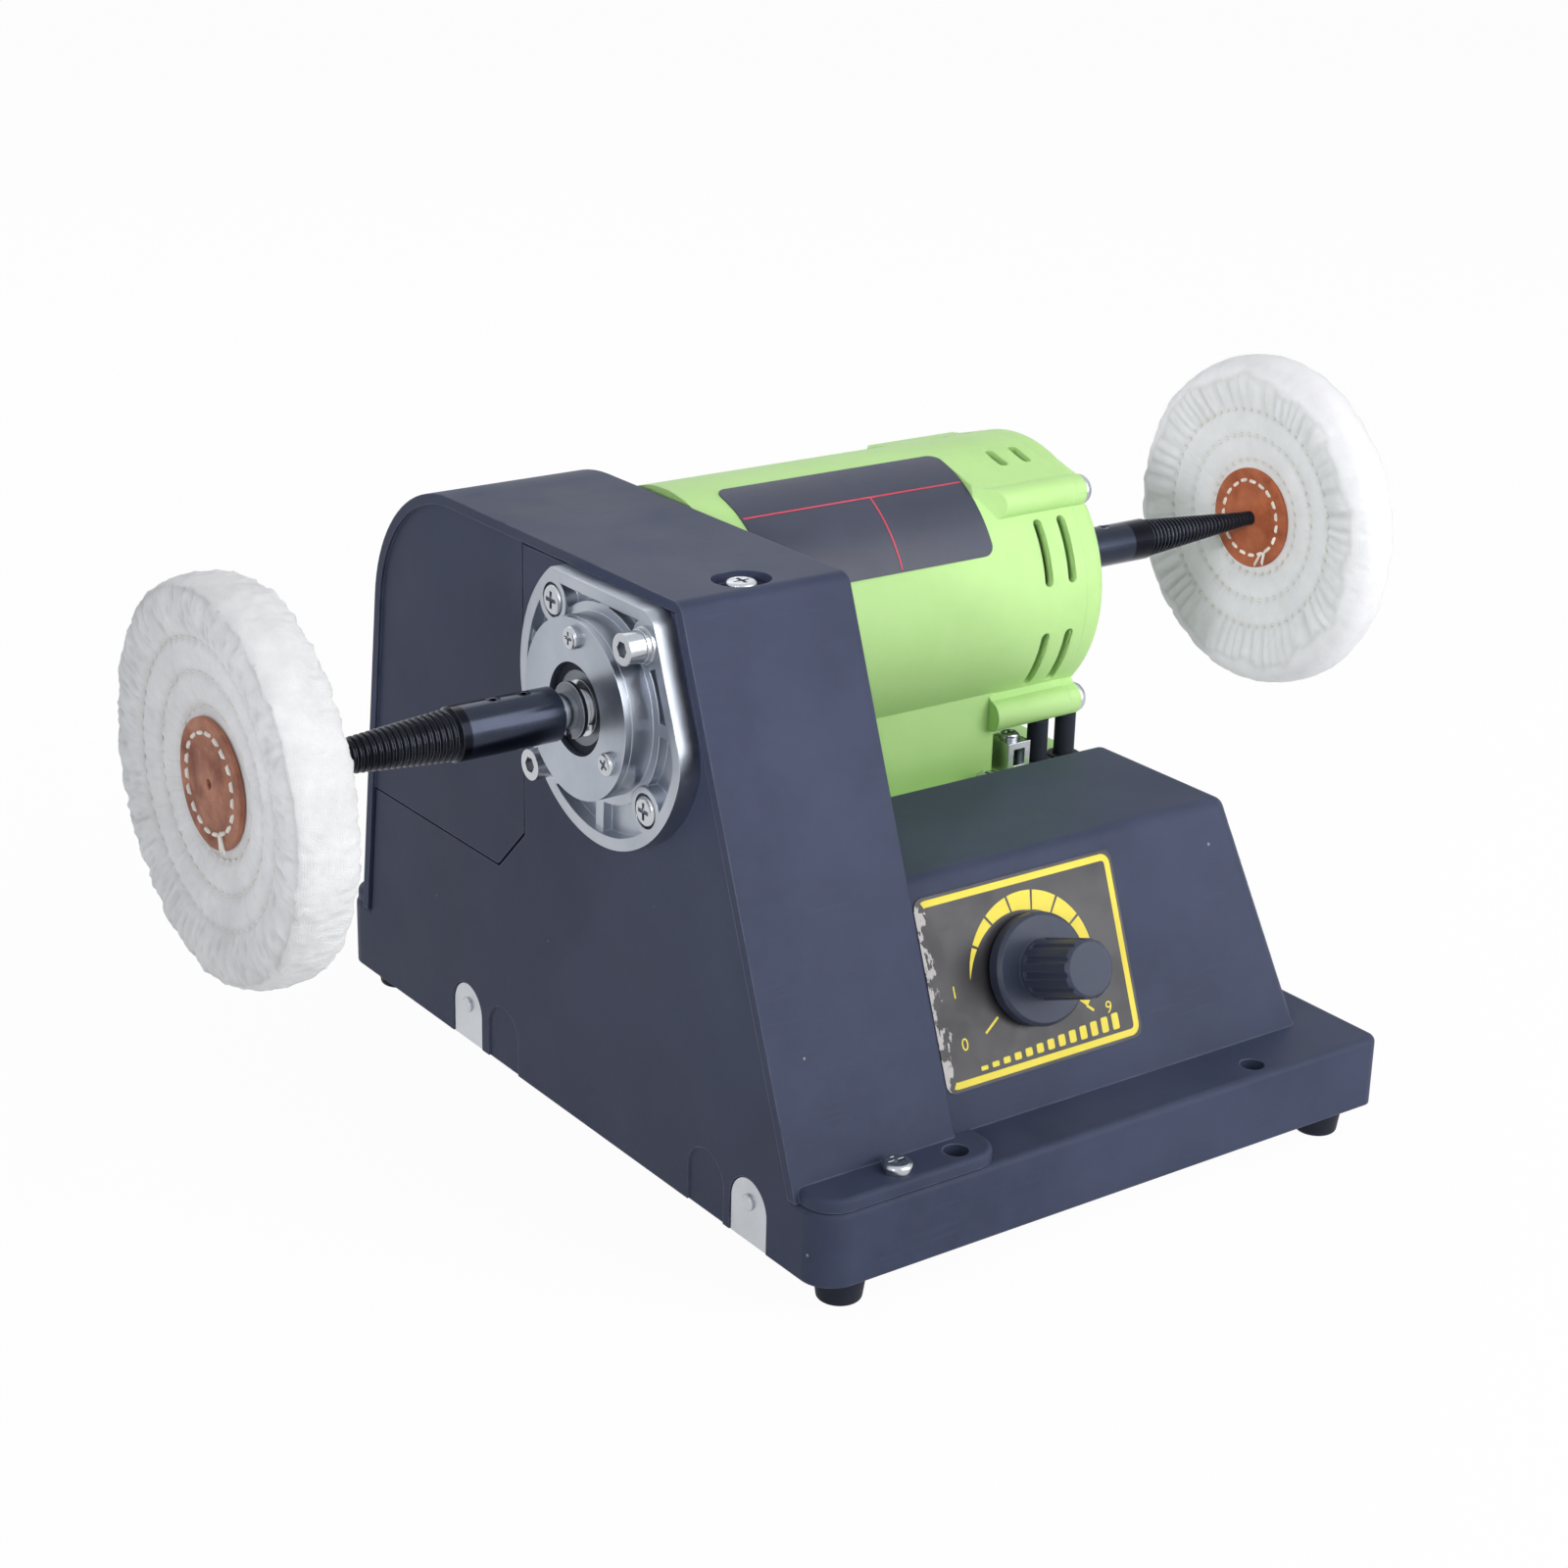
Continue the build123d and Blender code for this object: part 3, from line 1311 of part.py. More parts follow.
def boss_section(y, z):
    # A screw boss with the web that joins it to the casing
    length = hypot(y - motor_y, z - motor_z)
    out_y, out_z = (y - motor_y) / length, (z - motor_z) / length
    half = boss_radius * boss_web
    root = motor_radius - motor_wall / 2
    with Locations((y, z)):
        Circle(boss_radius)
    Polygon(
        (y - half * out_z, z + half * out_y),
        (motor_y + root * out_y - half * out_z, motor_z + root * out_z + half * out_y),
        (motor_y + root * out_y + half * out_z, motor_z + root * out_z - half * out_y),
        (y + half * out_z, z - half * out_y),
        align=None,
    )


def crown_web(y, z):
    # The flat that runs from the top of an upper boss to the crown of the casing
    length = hypot(y - motor_y, z - motor_z)
    out_y, out_z = (y - motor_y) / length, (z - motor_z) / length
    turn = atan2(z - motor_z, abs(y - motor_y)) + radians(boss_crown_angle)
    side = 1 if y > motor_y else -1
    root = motor_radius - motor_wall / 2
    Polygon(
        (y, z),
        (y + boss_radius * out_y, z + boss_radius * out_z),
        (motor_y + side * motor_radius * cos(turn), motor_z + motor_radius * sin(turn)),
        (motor_y + side * root * cos(turn), motor_z + root * sin(turn)),
        (motor_y + root * out_y, motor_z + root * out_z),
        align=None,
    )


def ramped_boss(side):
    # An upper screw boss; its left end slopes up from the casing, earlier on the side of the crown
    out_y = side * cos(radians(boss_angle))
    out_z = sin(radians(boss_angle))
    centre_y = motor_y + (motor_radius + upper_boss_offset) * out_y
    centre_z = motor_z + (motor_radius + upper_boss_offset) * out_z
    round_y = -side * out_z
    round_z = side * out_y
    with BuildPart() as boss:
        with BuildSketch(side_plane(motor_left + boss_ramp_left)):
            boss_section(centre_y, centre_z)
            crown_web(centre_y, centre_z)
        extrude(amount=boss_end - boss_ramp_left)
        slope = Plane(
            origin=(
                motor_left + boss_start,
                centre_y - boss_radius * round_y,
                centre_z - boss_radius * round_z,
            ),
            z_dir=(1, boss_skew * round_y - boss_slope * out_y, boss_skew * round_z - boss_slope * out_z),
        )
        split(bisect_by=slope, keep=Keep.TOP)
    return boss


lower_boss_places = [place for place in boss_places if place[1] < motor_z]
foot_z = platform_top
with BuildPart() as motor_housing:
    with BuildSketch(side_plane(motor_left)):
        with Locations((motor_y, motor_z)):
            Circle(motor_radius)
    extrude(amount=motor_length - end_cap_length)
    # Foot and pedestal
    with BuildSketch(Plane.XY.offset(foot_z)):
        rectangle_between(
            motor_left, motor_left + pedestal_length, motor_y - pedestal_width / 2,
            motor_y + pedestal_width / 2,
        )
    extrude(amount=motor_z - foot_z)
    pedestal_corners = motor_housing.edges().filter_by(Axis.Z).filter_by(
        lambda e: e.center().X > motor_left + pedestal_length - 1
    )
    fillet(pedestal_corners, 3.0)
    with BuildSketch(Plane.XY.offset(foot_z)) as foot_flange:
        rectangle_between(
            motor_left, motor_left + foot_flange_length, motor_y - foot_flange_width / 2,
            motor_y + foot_flange_width / 2,
        )
        fillet(foot_flange.vertices(), 4.0)
    extrude(amount=foot_flange_thickness)
    # Screw bosses along the casing
    with BuildSketch(side_plane(motor_left + boss_start)):
        for place in lower_boss_places:
            boss_section(*place)
    extrude(amount=boss_end - boss_start)
    for side in (-1, 1):
        add(ramped_boss(side).part)
    # Bore, bearing nose and pedestal hollow
    with BuildSketch(side_plane(motor_left + motor_front_wall)):
        with Locations((motor_y, motor_z)):
            Circle(housing_bore)
    extrude(amount=motor_length - motor_front_wall, mode=Mode.SUBTRACT)
    with BuildSketch(side_plane(motor_nose_x)):
        with Locations((motor_y, motor_z)):
            Circle(motor_nose_diameter / 2)
    extrude(amount=motor_nose_reach + motor_front_wall)
    with BuildSketch(side_plane(motor_left + motor_front_wall)):
        with Locations((motor_y, motor_z)):
            Circle(motor_bearing[1] / 2 + fit_gap)
    extrude(amount=-(motor_nose_reach + motor_front_wall - motor_bearing_shoulder), mode=Mode.SUBTRACT)
    with BuildSketch(side_plane(motor_nose_x)):
        with Locations((motor_y, motor_z)):
            Circle(shaft_hole_diameter / 2)
    extrude(amount=2 * motor_nose_reach, mode=Mode.SUBTRACT)
    hollow_height = motor_z - motor_radius * 0.95 - foot_z - pedestal_wall
    cell_length = (pedestal_length - 4 * pedestal_wall) / 3
    cell_width = (pedestal_width - 3 * pedestal_wall) / 2
    with BuildSketch(Plane.XY.offset(foot_z)):
        for i in range(3):
            for side in (-1, 1):
                with Locations(
                    (
                        motor_left + pedestal_wall + cell_length / 2 + i * (cell_length + pedestal_wall),
                        motor_y + side * (cell_width + pedestal_wall) / 2,
                    )
                ):
                    Rectangle(cell_length, cell_width)
    extrude(amount=hollow_height, mode=Mode.SUBTRACT)
    # Vent slots with round ends, front and back
    slot_end = slot_width / 2 / motor_radius * 180 / pi
    for slot_x in slot_positions:
        for start, end in slot_arcs:
            for low, high in ((start, end), (180 - end, 180 - start)):
                with BuildSketch(side_plane(motor_left + slot_x - slot_width / 2)):
                    with Locations((motor_y, motor_z)):
                        Circle(motor_radius + 2)
                        Circle(housing_bore - 2, mode=Mode.SUBTRACT)
                    wedge(motor_y, motor_z, low + slot_end, high - slot_end, 2 * motor_radius)
                extrude(amount=slot_width, mode=Mode.SUBTRACT)
                for angle in (radians(low + slot_end), radians(high - slot_end)):
                    slot_plane = Plane(
                        origin=(motor_left + slot_x, motor_y, motor_z), x_dir=(1, 0, 0),
                        z_dir=(0, -cos(angle), sin(angle)),
                    )
                    with BuildSketch(slot_plane.offset(housing_bore - 2)):
                        Circle(slot_width / 2)
                    extrude(amount=motor_radius - housing_bore + 4, mode=Mode.SUBTRACT)
    # Screw and lead holes
    with BuildSketch(side_plane(cap_left)):
        with Locations(*boss_places):
            Circle(end_screw_diameter / 2 + fit_gap)
    extrude(amount=-(end_screw_length + boss_setback - end_cap_length + 1), mode=Mode.SUBTRACT)
    with BuildSketch(Plane.XY.offset(foot_flange_top)):
        with Locations(*foot_bolt_points):
            Circle(foot_bolt_diameter / 2 + fit_gap)
        with Locations(*lead_points):
            Circle(grommet_diameter / 2)
    extrude(amount=-foot_flange_thickness, mode=Mode.SUBTRACT)
    with BuildSketch(Plane.XY.offset(lead_top + fit_gap)):
        with Locations(lead_points[0]):
            Circle(lead_diameter / 2 + fit_gap)
    extrude(amount=-lead_entry_depth, mode=Mode.SUBTRACT)
    with BuildSketch(Plane.XY.offset(foot_flange_top)):
        with Locations((base_left + clamp_left + clamp_length / 2, base_front + clamp_line)):
            Circle(clamp_screw_diameter / 2 + fit_gap)
    extrude(amount=-foot_flange_thickness, mode=Mode.SUBTRACT)
finish(motor_housing, "motor_housing")

with BuildPart() as motor_end_cap:
    with BuildSketch(side_plane(cap_left)) as cap_outline:
        with Locations((motor_y, motor_z)):
            Circle(motor_radius)
    extrude(amount=end_cap_length)
    fillet(motor_end_cap.edges().group_by(Axis.X)[-1], end_cap_edge_radius)
    with BuildSketch(side_plane(cap_left)):
        for place in boss_places:
            boss_section(*place)
        for place in boss_places:
            if place[1] > motor_z:
                crown_web(*place)
    extrude(amount=end_cap_length - boss_setback)
    with BuildSketch(side_plane(cap_left)):
        with Locations((motor_y, motor_z)):
            Circle(housing_bore)
    extrude(amount=end_cap_length - motor_wall, mode=Mode.SUBTRACT)
    with BuildSketch(side_plane(cap_left - end_cap_spigot_depth)):
        with Locations((motor_y, motor_z)):
            Circle(housing_bore - fit_gap)
            Circle(housing_bore - end_cap_spigot_width, mode=Mode.SUBTRACT)
    extrude(amount=end_cap_spigot_depth + end_cap_length - motor_wall)
    with BuildSketch(side_plane(cap_left - end_cap_hub_depth)):
        with Locations((motor_y, motor_z)):
            Circle(end_cap_hub_diameter / 2)
    extrude(amount=end_cap_hub_depth + end_cap_length + end_cap_boss_reach)
    fillet(motor_end_cap.edges().group_by(Axis.X)[-1], 1.5)
    with BuildSketch(side_plane(cap_left - end_cap_hub_depth)):
        with Locations((motor_y, motor_z)):
            Circle(motor_bearing[1] / 2 + fit_gap)
    extrude(amount=motor_bearing[2] + fit_gap, mode=Mode.SUBTRACT)
    with BuildSketch(side_plane(cap_left)):
        with Locations((motor_y, motor_z)):
            Circle(shaft_hole_diameter / 2)
    extrude(amount=2 * end_cap_length, mode=Mode.SUBTRACT)
    with BuildSketch(side_plane(motor_right - boss_setback)):
        with Locations(*boss_places):
            Circle(end_screw_head_diameter / 2 + plate_clearance)
    extrude(amount=boss_setback, mode=Mode.SUBTRACT)
    with BuildSketch(side_plane(motor_right)):
        with Locations(*boss_places):
            Circle(end_screw_diameter / 2 + fit_gap)
    extrude(amount=-end_cap_length, mode=Mode.SUBTRACT)
    with BuildSketch(Plane.XY.offset(lead_top + fit_gap)):
        with Locations(lead_points[1]):
            Circle(lead_diameter / 2 + fit_gap)
    extrude(amount=-lead_entry_depth, mode=Mode.SUBTRACT)
finish(motor_end_cap, "motor_end_cap")

end_screw_seat = motor_right - boss_setback
with BuildPart() as end_cap_screws:
    with BuildSketch(side_plane(end_screw_seat)):
        with Locations(*boss_places):
            Circle(end_screw_head_diameter / 2)
    extrude(amount=end_screw_head_height)
    with BuildSketch(side_plane(end_screw_seat)):
        with Locations(*boss_places):
            Circle(end_screw_diameter / 2)
    extrude(amount=-end_screw_length)
    fillet(end_cap_screws.edges().group_by(Axis.X)[-1], 2.4)
    with BuildSketch(side_plane(end_screw_seat + end_screw_head_height)):
        with Locations(*boss_places):
            screw_recess(end_screw_head_diameter / 2)
    extrude(amount=-end_screw_head_height * 0.6, mode=Mode.SUBTRACT)
finish(end_cap_screws, "end_cap_screws")

with BuildPart() as rating_plate:
    with BuildSketch(side_plane(motor_left + plate_start)):
        with Locations((motor_y, motor_z)):
            Circle(motor_radius + rating_plate_thickness)
            Circle(motor_radius + fit_gap, mode=Mode.SUBTRACT)
        wedge(motor_y, motor_z, plate_low_angle, plate_high_angle, 2 * motor_radius)
    extrude(amount=plate_end - plate_start)
    plate_corners = rating_plate.edges().filter_by(
        lambda e: e.length < 2 * rating_plate_thickness and abs(e.tangent_at(0.5).X) < 0.1
    )
    fillet(plate_corners, rating_plate_corner)
finish(rating_plate, "rating_plate")

# Stator and field coils
stator_left = motor_left + stator_start
stator_right = stator_left + stator_length
stator_bore = stator_bore_diameter / 2
with BuildPart() as stator_core:
    with BuildSketch(side_plane(stator_left)):
        with Locations((motor_y, motor_z)):
            Circle(housing_bore - fit_gap)
            Circle(stator_bore, mode=Mode.SUBTRACT)
    extrude(amount=stator_length)
    for middle in (0, 180):
        for start, end in ((coil_slot_start, coil_slot_end), (-coil_slot_end, -coil_slot_start)):
            with BuildSketch(side_plane(stator_left)):
                with Locations((motor_y, motor_z)):
                    Circle(coil_outer_radius + fit_gap)
                    Circle(coil_inner_radius - fit_gap, mode=Mode.SUBTRACT)
                wedge(motor_y, motor_z, middle + start - 0.1, middle + end + 0.1, 2 * motor_radius)
            extrude(amount=stator_length, mode=Mode.SUBTRACT)
finish(stator_core, "stator_core")

coil_left = stator_left - coil_overhang
coil_right = stator_right + coil_overhang
with BuildPart() as field_coils:
    for middle in (0, 180):
        with BuildSketch(side_plane(coil_left)):
            with Locations((motor_y, motor_z)):
                Circle(coil_outer_radius)
                Circle(coil_inner_radius, mode=Mode.SUBTRACT)
            wedge(motor_y, motor_z, middle - coil_slot_end, middle + coil_slot_end, 4 * motor_radius)
        extrude(amount=coil_right - coil_left)
    for middle in (0, 180):
        with BuildSketch(side_plane(stator_left - 1)):
            with Locations((motor_y, motor_z)):
                Circle(coil_outer_radius + 1)
                Circle(coil_inner_radius - 1, mode=Mode.SUBTRACT)
            wedge(motor_y, motor_z, middle - coil_slot_start, middle + coil_slot_start, 4 * motor_radius)
        extrude(amount=stator_length + 2, mode=Mode.SUBTRACT)
finish(field_coils, "field_coils")

# Armature
shaft_radius = motor_bearing[0] / 2
right_barrel_inner = motor_right + end_cap_boss_reach + right_standoff
right_barrel_outer = right_barrel_inner + right_barrel_length
right_tip = right_barrel_outer + right_taper_length
shaft_left = pulley_left - 1
shaft_right = right_barrel_inner + barrel_bore_depth - 2
with BuildPart() as armature_shaft:
    with BuildSketch(side_plane(shaft_left)):
        with Locations((motor_y, motor_z)):
            Circle(shaft_radius)
    extrude(amount=shaft_right - shaft_left)
    chamfer(armature_shaft.edges().group_by(Axis.X)[0], 0.8)
    chamfer(armature_shaft.edges().group_by(Axis.X)[-1], 0.8)
finish(armature_shaft, "armature_shaft")

core_radius = stator_bore - air_gap
with BuildPart() as armature_core:
    with BuildSketch(side_plane(stator_left)):
        with Locations((motor_y, motor_z)):
            Circle(core_radius)
            Circle(shaft_radius + fit_gap, mode=Mode.SUBTRACT)
            with PolarLocations(core_radius - core_slot_depth / 2 + 0.5, core_slot_count):
                Rectangle(core_slot_depth + 1, core_slot_width, mode=Mode.SUBTRACT)
    extrude(amount=stator_length)
finish(armature_core, "armature_core")

with BuildPart() as armature_windings:
    for start_x, reach in ((stator_left, -winding_overhang), (stator_right, winding_overhang)):
        with BuildSketch(side_plane(start_x)):
            with Locations((motor_y, motor_z)):
                Circle(winding_radius)
                Circle(shaft_radius + fit_gap, mode=Mode.SUBTRACT)
        extrude(amount=reach)
    fillet(armature_windings.edges().filter_by(GeomType.CIRCLE).filter_by(
        lambda e: abs(e.radius - winding_radius) < 0.01
        and (e.center().X < stator_left - 1 or e.center().X > stator_right + 1)
    ), 4.0)
finish(armature_windings, "armature_windings")

commutator_left = motor_left + commutator_start
with BuildPart() as commutator:
    with BuildSketch(side_plane(commutator_left)):
        with Locations((motor_y, motor_z)):
            Circle(commutator_diameter / 2)
            Circle(shaft_radius + fit_gap, mode=Mode.SUBTRACT)
            with PolarLocations(commutator_diameter / 2, commutator_bar_count):
                Rectangle(2 * commutator_slit_depth, commutator_slit_width, mode=Mode.SUBTRACT)
    extrude(amount=commutator_length)
finish(commutator, "commutator")

fan_left = motor_left + fan_start
with BuildPart() as cooling_fan:
    with BuildSketch(side_plane(fan_left)):
        with Locations((motor_y, motor_z)):
            Circle(fan_diameter / 2)
    extrude(amount=fan_plate_thickness)
    with BuildSketch(side_plane(fan_left)):
        with Locations((motor_y, motor_z)):
            Circle(fan_hub_diameter / 2)
            with PolarLocations(fan_diameter * 0.31, fan_blade_count):
                Rectangle(fan_diameter * 0.36, fan_blade_thickness, rotation=24)
    extrude(amount=fan_plate_thickness + fan_blade_height)
    with BuildSketch(side_plane(fan_left)):
        with Locations((motor_y, motor_z)):
            Circle(shaft_radius + fit_gap)
    extrude(amount=fan_plate_thickness + fan_blade_height, mode=Mode.SUBTRACT)
finish(cooling_fan, "cooling_fan")

# Brush gear, front and back of the commutator
brush_x = commutator_left + commutator_length / 2
brush_start = commutator_diameter / 2 + brush_clearance
holder_start = commutator_diameter / 2 + 1.5
with BuildPart() as carbon_brushes:
    for side in (-1, 1):
        with Locations((brush_x, motor_y + side * (brush_start + brush_length / 2), motor_z)):
            Box(brush_depth, brush_length, brush_width)
finish(carbon_brushes, "carbon_brushes")

with BuildPart() as brush_holders:
    for side in (-1, 1):
        with Locations((brush_x, motor_y + side * (holder_start + brush_holder_length / 2), motor_z)):
            Box(
                brush_depth + 2 * brush_holder_wall, brush_holder_length, brush_width + 2 * brush_holder_wall
            )
    for side in (-1, 1):
        bore_length = brush_holder_length - brush_holder_wall
        with Locations((brush_x, motor_y + side * (holder_start + bore_length / 2), motor_z)):
            Box(brush_depth + 2 * fit_gap, bore_length, brush_width + 2 * fit_gap, mode=Mode.SUBTRACT)
finish(brush_holders, "brush_holders")

spring_start = brush_start + brush_length + brush_spring_wire / 2 + fit_gap
spring_end = holder_start + brush_holder_length - brush_holder_wall - brush_spring_wire / 2 - fit_gap
spring_pitch = (spring_end - spring_start) / brush_spring_turns
with BuildPart() as brush_springs:
    for side in (-1, 1):
        with BuildLine() as spring_path:
            Helix(
                spring_pitch, spring_end - spring_start, brush_spring_radius,
                center=(brush_x, motor_y + side * spring_start, motor_z), direction=(0, side, 0),
            )
        with BuildSketch(Plane(origin=spring_path.line @ 0, z_dir=spring_path.line % 0)):
            Circle(brush_spring_wire / 2)
        sweep(path=spring_path.line, is_frenet=True)
finish(brush_springs, "brush_springs")

with BuildPart() as motor_foot_screws:
    with BuildSketch(Plane.XY.offset(foot_flange_top)):
        with Locations(*foot_bolt_points):
            Circle(foot_bolt_head_diameter / 2)
    extrude(amount=foot_bolt_head_height)
    with BuildSketch(Plane.XY.offset(foot_flange_top)):
        with Locations(*foot_bolt_points):
            Circle(foot_bolt_diameter / 2)
    extrude(amount=-(foot_flange_thickness + 2 * shell_wall))
    fillet(motor_foot_screws.edges().group_by(Axis.Z)[-1], 1.2)
    with BuildSketch(Plane.XY.offset(foot_flange_top + foot_bolt_head_height)):
        with Locations(*foot_bolt_points):
            screw_recess(foot_bolt_head_diameter / 2)
    extrude(amount=-foot_bolt_head_height * 0.6, mode=Mode.SUBTRACT)
finish(motor_foot_screws, "motor_foot_screws")

# Leads from the motor down through the platform to the control board
board_top = plate_top + standoff_height + board_thickness
with BuildPart() as motor_leads:
    for x, y in lead_points:
        with BuildSketch(Plane.XY.offset(board_top)):
            with Locations((x, y)):
                Circle(lead_diameter / 2)
        extrude(amount=lead_top - board_top)
finish(motor_leads, "motor_leads")

with BuildPart() as lead_grommets:
    with BuildSketch(Plane.XY.offset(platform_top - shell_wall)):
        with Locations(*lead_points):
            Circle(grommet_diameter / 2 - fit_gap)
            Circle(lead_diameter / 2 + fit_gap, mode=Mode.SUBTRACT)
    extrude(amount=shell_wall + foot_flange_thickness)
    with BuildSketch(Plane.XY.offset(foot_flange_top)):
        with Locations(*lead_points):
            Circle(grommet_flange_diameter / 2 - grommet_flange_height)
            Circle(lead_diameter / 2 + fit_gap, mode=Mode.SUBTRACT)
    extrude(amount=grommet_flange_height)
finish(lead_grommets, "lead_grommets")

clamp_x = base_left + clamp_left + clamp_length / 2
clamp_y = base_front + clamp_line
with BuildPart() as lead_clamp:
    with Locations((clamp_x, clamp_y, foot_flange_top)):
        Box(clamp_length, clamp_width, clamp_height, align=(Align.CENTER, Align.CENTER, Align.MIN))
    with Locations((clamp_x, clamp_y, foot_flange_top + clamp_sheet)):
        Box(
            clamp_length - 2 * clamp_sheet, clamp_width + 1, clamp_height - 2 * clamp_sheet,
            align=(Align.CENTER, Align.CENTER, Align.MIN), mode=Mode.SUBTRACT,
        )
    with BuildSketch(Plane.XY.offset(foot_flange_top)):
        with Locations((clamp_x, clamp_y)):
            Circle(clamp_screw_diameter / 2 + fit_gap)
    extrude(amount=clamp_height, mode=Mode.SUBTRACT)
finish(lead_clamp, "lead_clamp")

clamp_top = foot_flange_top + clamp_height
with BuildPart() as lead_clamp_screw:
    with BuildSketch(Plane.XY.offset(clamp_top)):
        with Locations((clamp_x, clamp_y)):
            Circle(clamp_screw_diameter)
    extrude(amount=2.0)
    fillet(lead_clamp_screw.edges().group_by(Axis.Z)[-1], 0.9)
    with BuildSketch(Plane.XY.offset(clamp_top)):
        with Locations((clamp_x, clamp_y)):
            Circle(clamp_screw_diameter / 2)
    extrude(amount=-(clamp_height + foot_flange_thickness - 2))
    with BuildSketch(Plane.XY.offset(clamp_top + 2.0)):
        with Locations((clamp_x, clamp_y)):
            screw_recess(clamp_screw_diameter)
    extrude(amount=-1.2, mode=Mode.SUBTRACT)
finish(lead_clamp_screw, "lead_clamp_screw")


# Tapered spindles: a barrel that clamps on the shaft and a threaded cone
def spindle_profile(inner, outer, tip, barrel_radius, tip_radius, bore_radius):
    way = 1 if tip > outer else -1
    root = barrel_radius - taper_shoulder
    length = abs(tip - outer)
    points = [
        (inner + way * barrel_bore_depth, 0),
        (inner + way * barrel_bore_depth, bore_radius),
        (inner, bore_radius),
        (inner, barrel_radius - barrel_chamfer),
        (inner + way * barrel_chamfer, barrel_radius),
        (outer - way * barrel_chamfer, barrel_radius),
        (outer, barrel_radius - barrel_chamfer),
    ]
    turns = int(length / thread_pitch) - 1
    for turn in range(turns):
        start = turn * thread_pitch
        crest = root + (tip_radius - root) * start / length
        depth = min(thread_depth, crest * 0.3)
        points.append((outer + way * (start + 0.15 * thread_pitch), crest - depth))
        points.append((outer + way * (start + 0.55 * thread_pitch), crest - 0.55 * thread_pitch * 0.08))
        points.append((outer + way * (start + 0.8 * thread_pitch), crest - 0.8 * thread_pitch * 0.08))
    points.append((tip, tip_radius * 0.8))
    points.append((tip, 0))
    return points


def spindle(plane, axis, inner, outer, tip, barrel_diameter, tip_diameter, bore_diameter, axis_y, axis_z):
    way = 1 if tip > outer else -1
    with BuildPart() as piece:
        with BuildSketch(plane):
            with BuildLine():
                Polyline(
                    *spindle_profile(
                        inner, outer, tip, barrel_diameter / 2, tip_diameter / 2, bore_diameter / 2 + fit_gap
                    ),
                    close=True,
                )
            make_face()
        revolve(axis=axis)
        with BuildSketch(Plane.XY.offset(axis_z)):
            for step in range(2):
                with Locations((inner + way * (spindle_screw_first + step * spindle_screw_spacing), axis_y)):
                    Circle(set_screw_diameter / 2 + fit_gap)
        extrude(amount=barrel_diameter, mode=Mode.SUBTRACT)
    return piece


left_spindle = spindle(
    output_plane, output_axis, left_barrel_inner, left_barrel_outer, left_tip, left_barrel_diameter,
    left_taper_tip, output_stub_diameter, output_y, output_z,
)
finish(left_spindle, "left_spindle")
right_spindle = spindle(
    motor_plane, motor_axis, right_barrel_inner, right_barrel_outer, right_tip, right_barrel_diameter,
    right_taper_tip, motor_bearing[0], motor_y, motor_z,
)
finish(right_spindle, "right_spindle")

screw_steps = [spindle_screw_first, spindle_screw_first + spindle_screw_spacing]
left_spindle_screws = set_screws(
    [left_barrel_inner - step for step in screw_steps], output_y, output_z + output_stub_diameter / 2,
    output_z + left_barrel_diameter / 2 - 0.2,
)
finish(left_spindle_screws, "left_spindle_screws")

right_spindle_screws = set_screws(
    [right_barrel_inner + step for step in screw_steps], motor_y, motor_z + shaft_radius,
    motor_z + right_barrel_diameter / 2 - 0.2,
)
finish(right_spindle_screws, "right_spindle_screws")

# Buff wheels: sewn cotton, thin at the leather hub and full at the rim
left_wheel_x = left_tip - tip_cover + wheel_hub_thickness / 2
right_wheel_x = right_tip + tip_cover - wheel_hub_thickness / 2
cloth_hub_half = wheel_hub_thickness / 2 - leather_thickness
leather_radius = leather_diameter / 2
rim_half = wheel_rim_thickness / 2


def taper_radius(x, outer, tip, barrel_diameter, tip_diameter):
    root = barrel_diameter / 2 - taper_shoulder
    return root + (tip_diameter / 2 - root) * (x - outer) / (tip - outer)


def cloth_face(centre_x, side, wheel_radius):
    # One face of the wheel from the leather's edge out to the rim
    edges = []
    low = (centre_x + side * cloth_hub_half, leather_radius)
    for radius, half in zip(stitch_radii, stitch_half_thickness):
        high = (centre_x + side * half, radius)
        middle = ((low[0] + high[0]) / 2 + side * cloth_swell, (low[1] + high[1]) / 2)
        edges.append((low, middle, high))
        low = high
    shoulder = (centre_x + side * (rim_half - rim_shoulder), wheel_radius - rim_shoulder)
    swell = (centre_x + side * rim_half, (stitch_radii[-1] + wheel_radius) / 2)
    edges.append((low, swell, shoulder))
    return edges


def buff_wheel(plane, axis, centre_x, taper, wheel_radius):
    near_bore = taper_radius(centre_x - cloth_hub_half, *taper) + wheel_bore_gap
    far_bore = taper_radius(centre_x + cloth_hub_half, *taper) + wheel_bore_gap
    with BuildPart() as piece:
        with BuildSketch(plane):
            with BuildLine():
                Line((centre_x - cloth_hub_half, near_bore), (centre_x + cloth_hub_half, far_bore))
                Line((centre_x + cloth_hub_half, far_bore), (centre_x + cloth_hub_half, leather_radius))
                Line((centre_x - cloth_hub_half, near_bore), (centre_x - cloth_hub_half, leather_radius))
                for side in (-1, 1):
                    for start, middle, end in cloth_face(centre_x, side, wheel_radius):
                        ThreePointArc(start, middle, end)
                ThreePointArc(
                    (centre_x - rim_half + rim_shoulder, wheel_radius - rim_shoulder),
                    (centre_x, wheel_radius),
                    (centre_x + rim_half - rim_shoulder, wheel_radius - rim_shoulder),
                )
            make_face()
        revolve(axis=axis)
    return piece


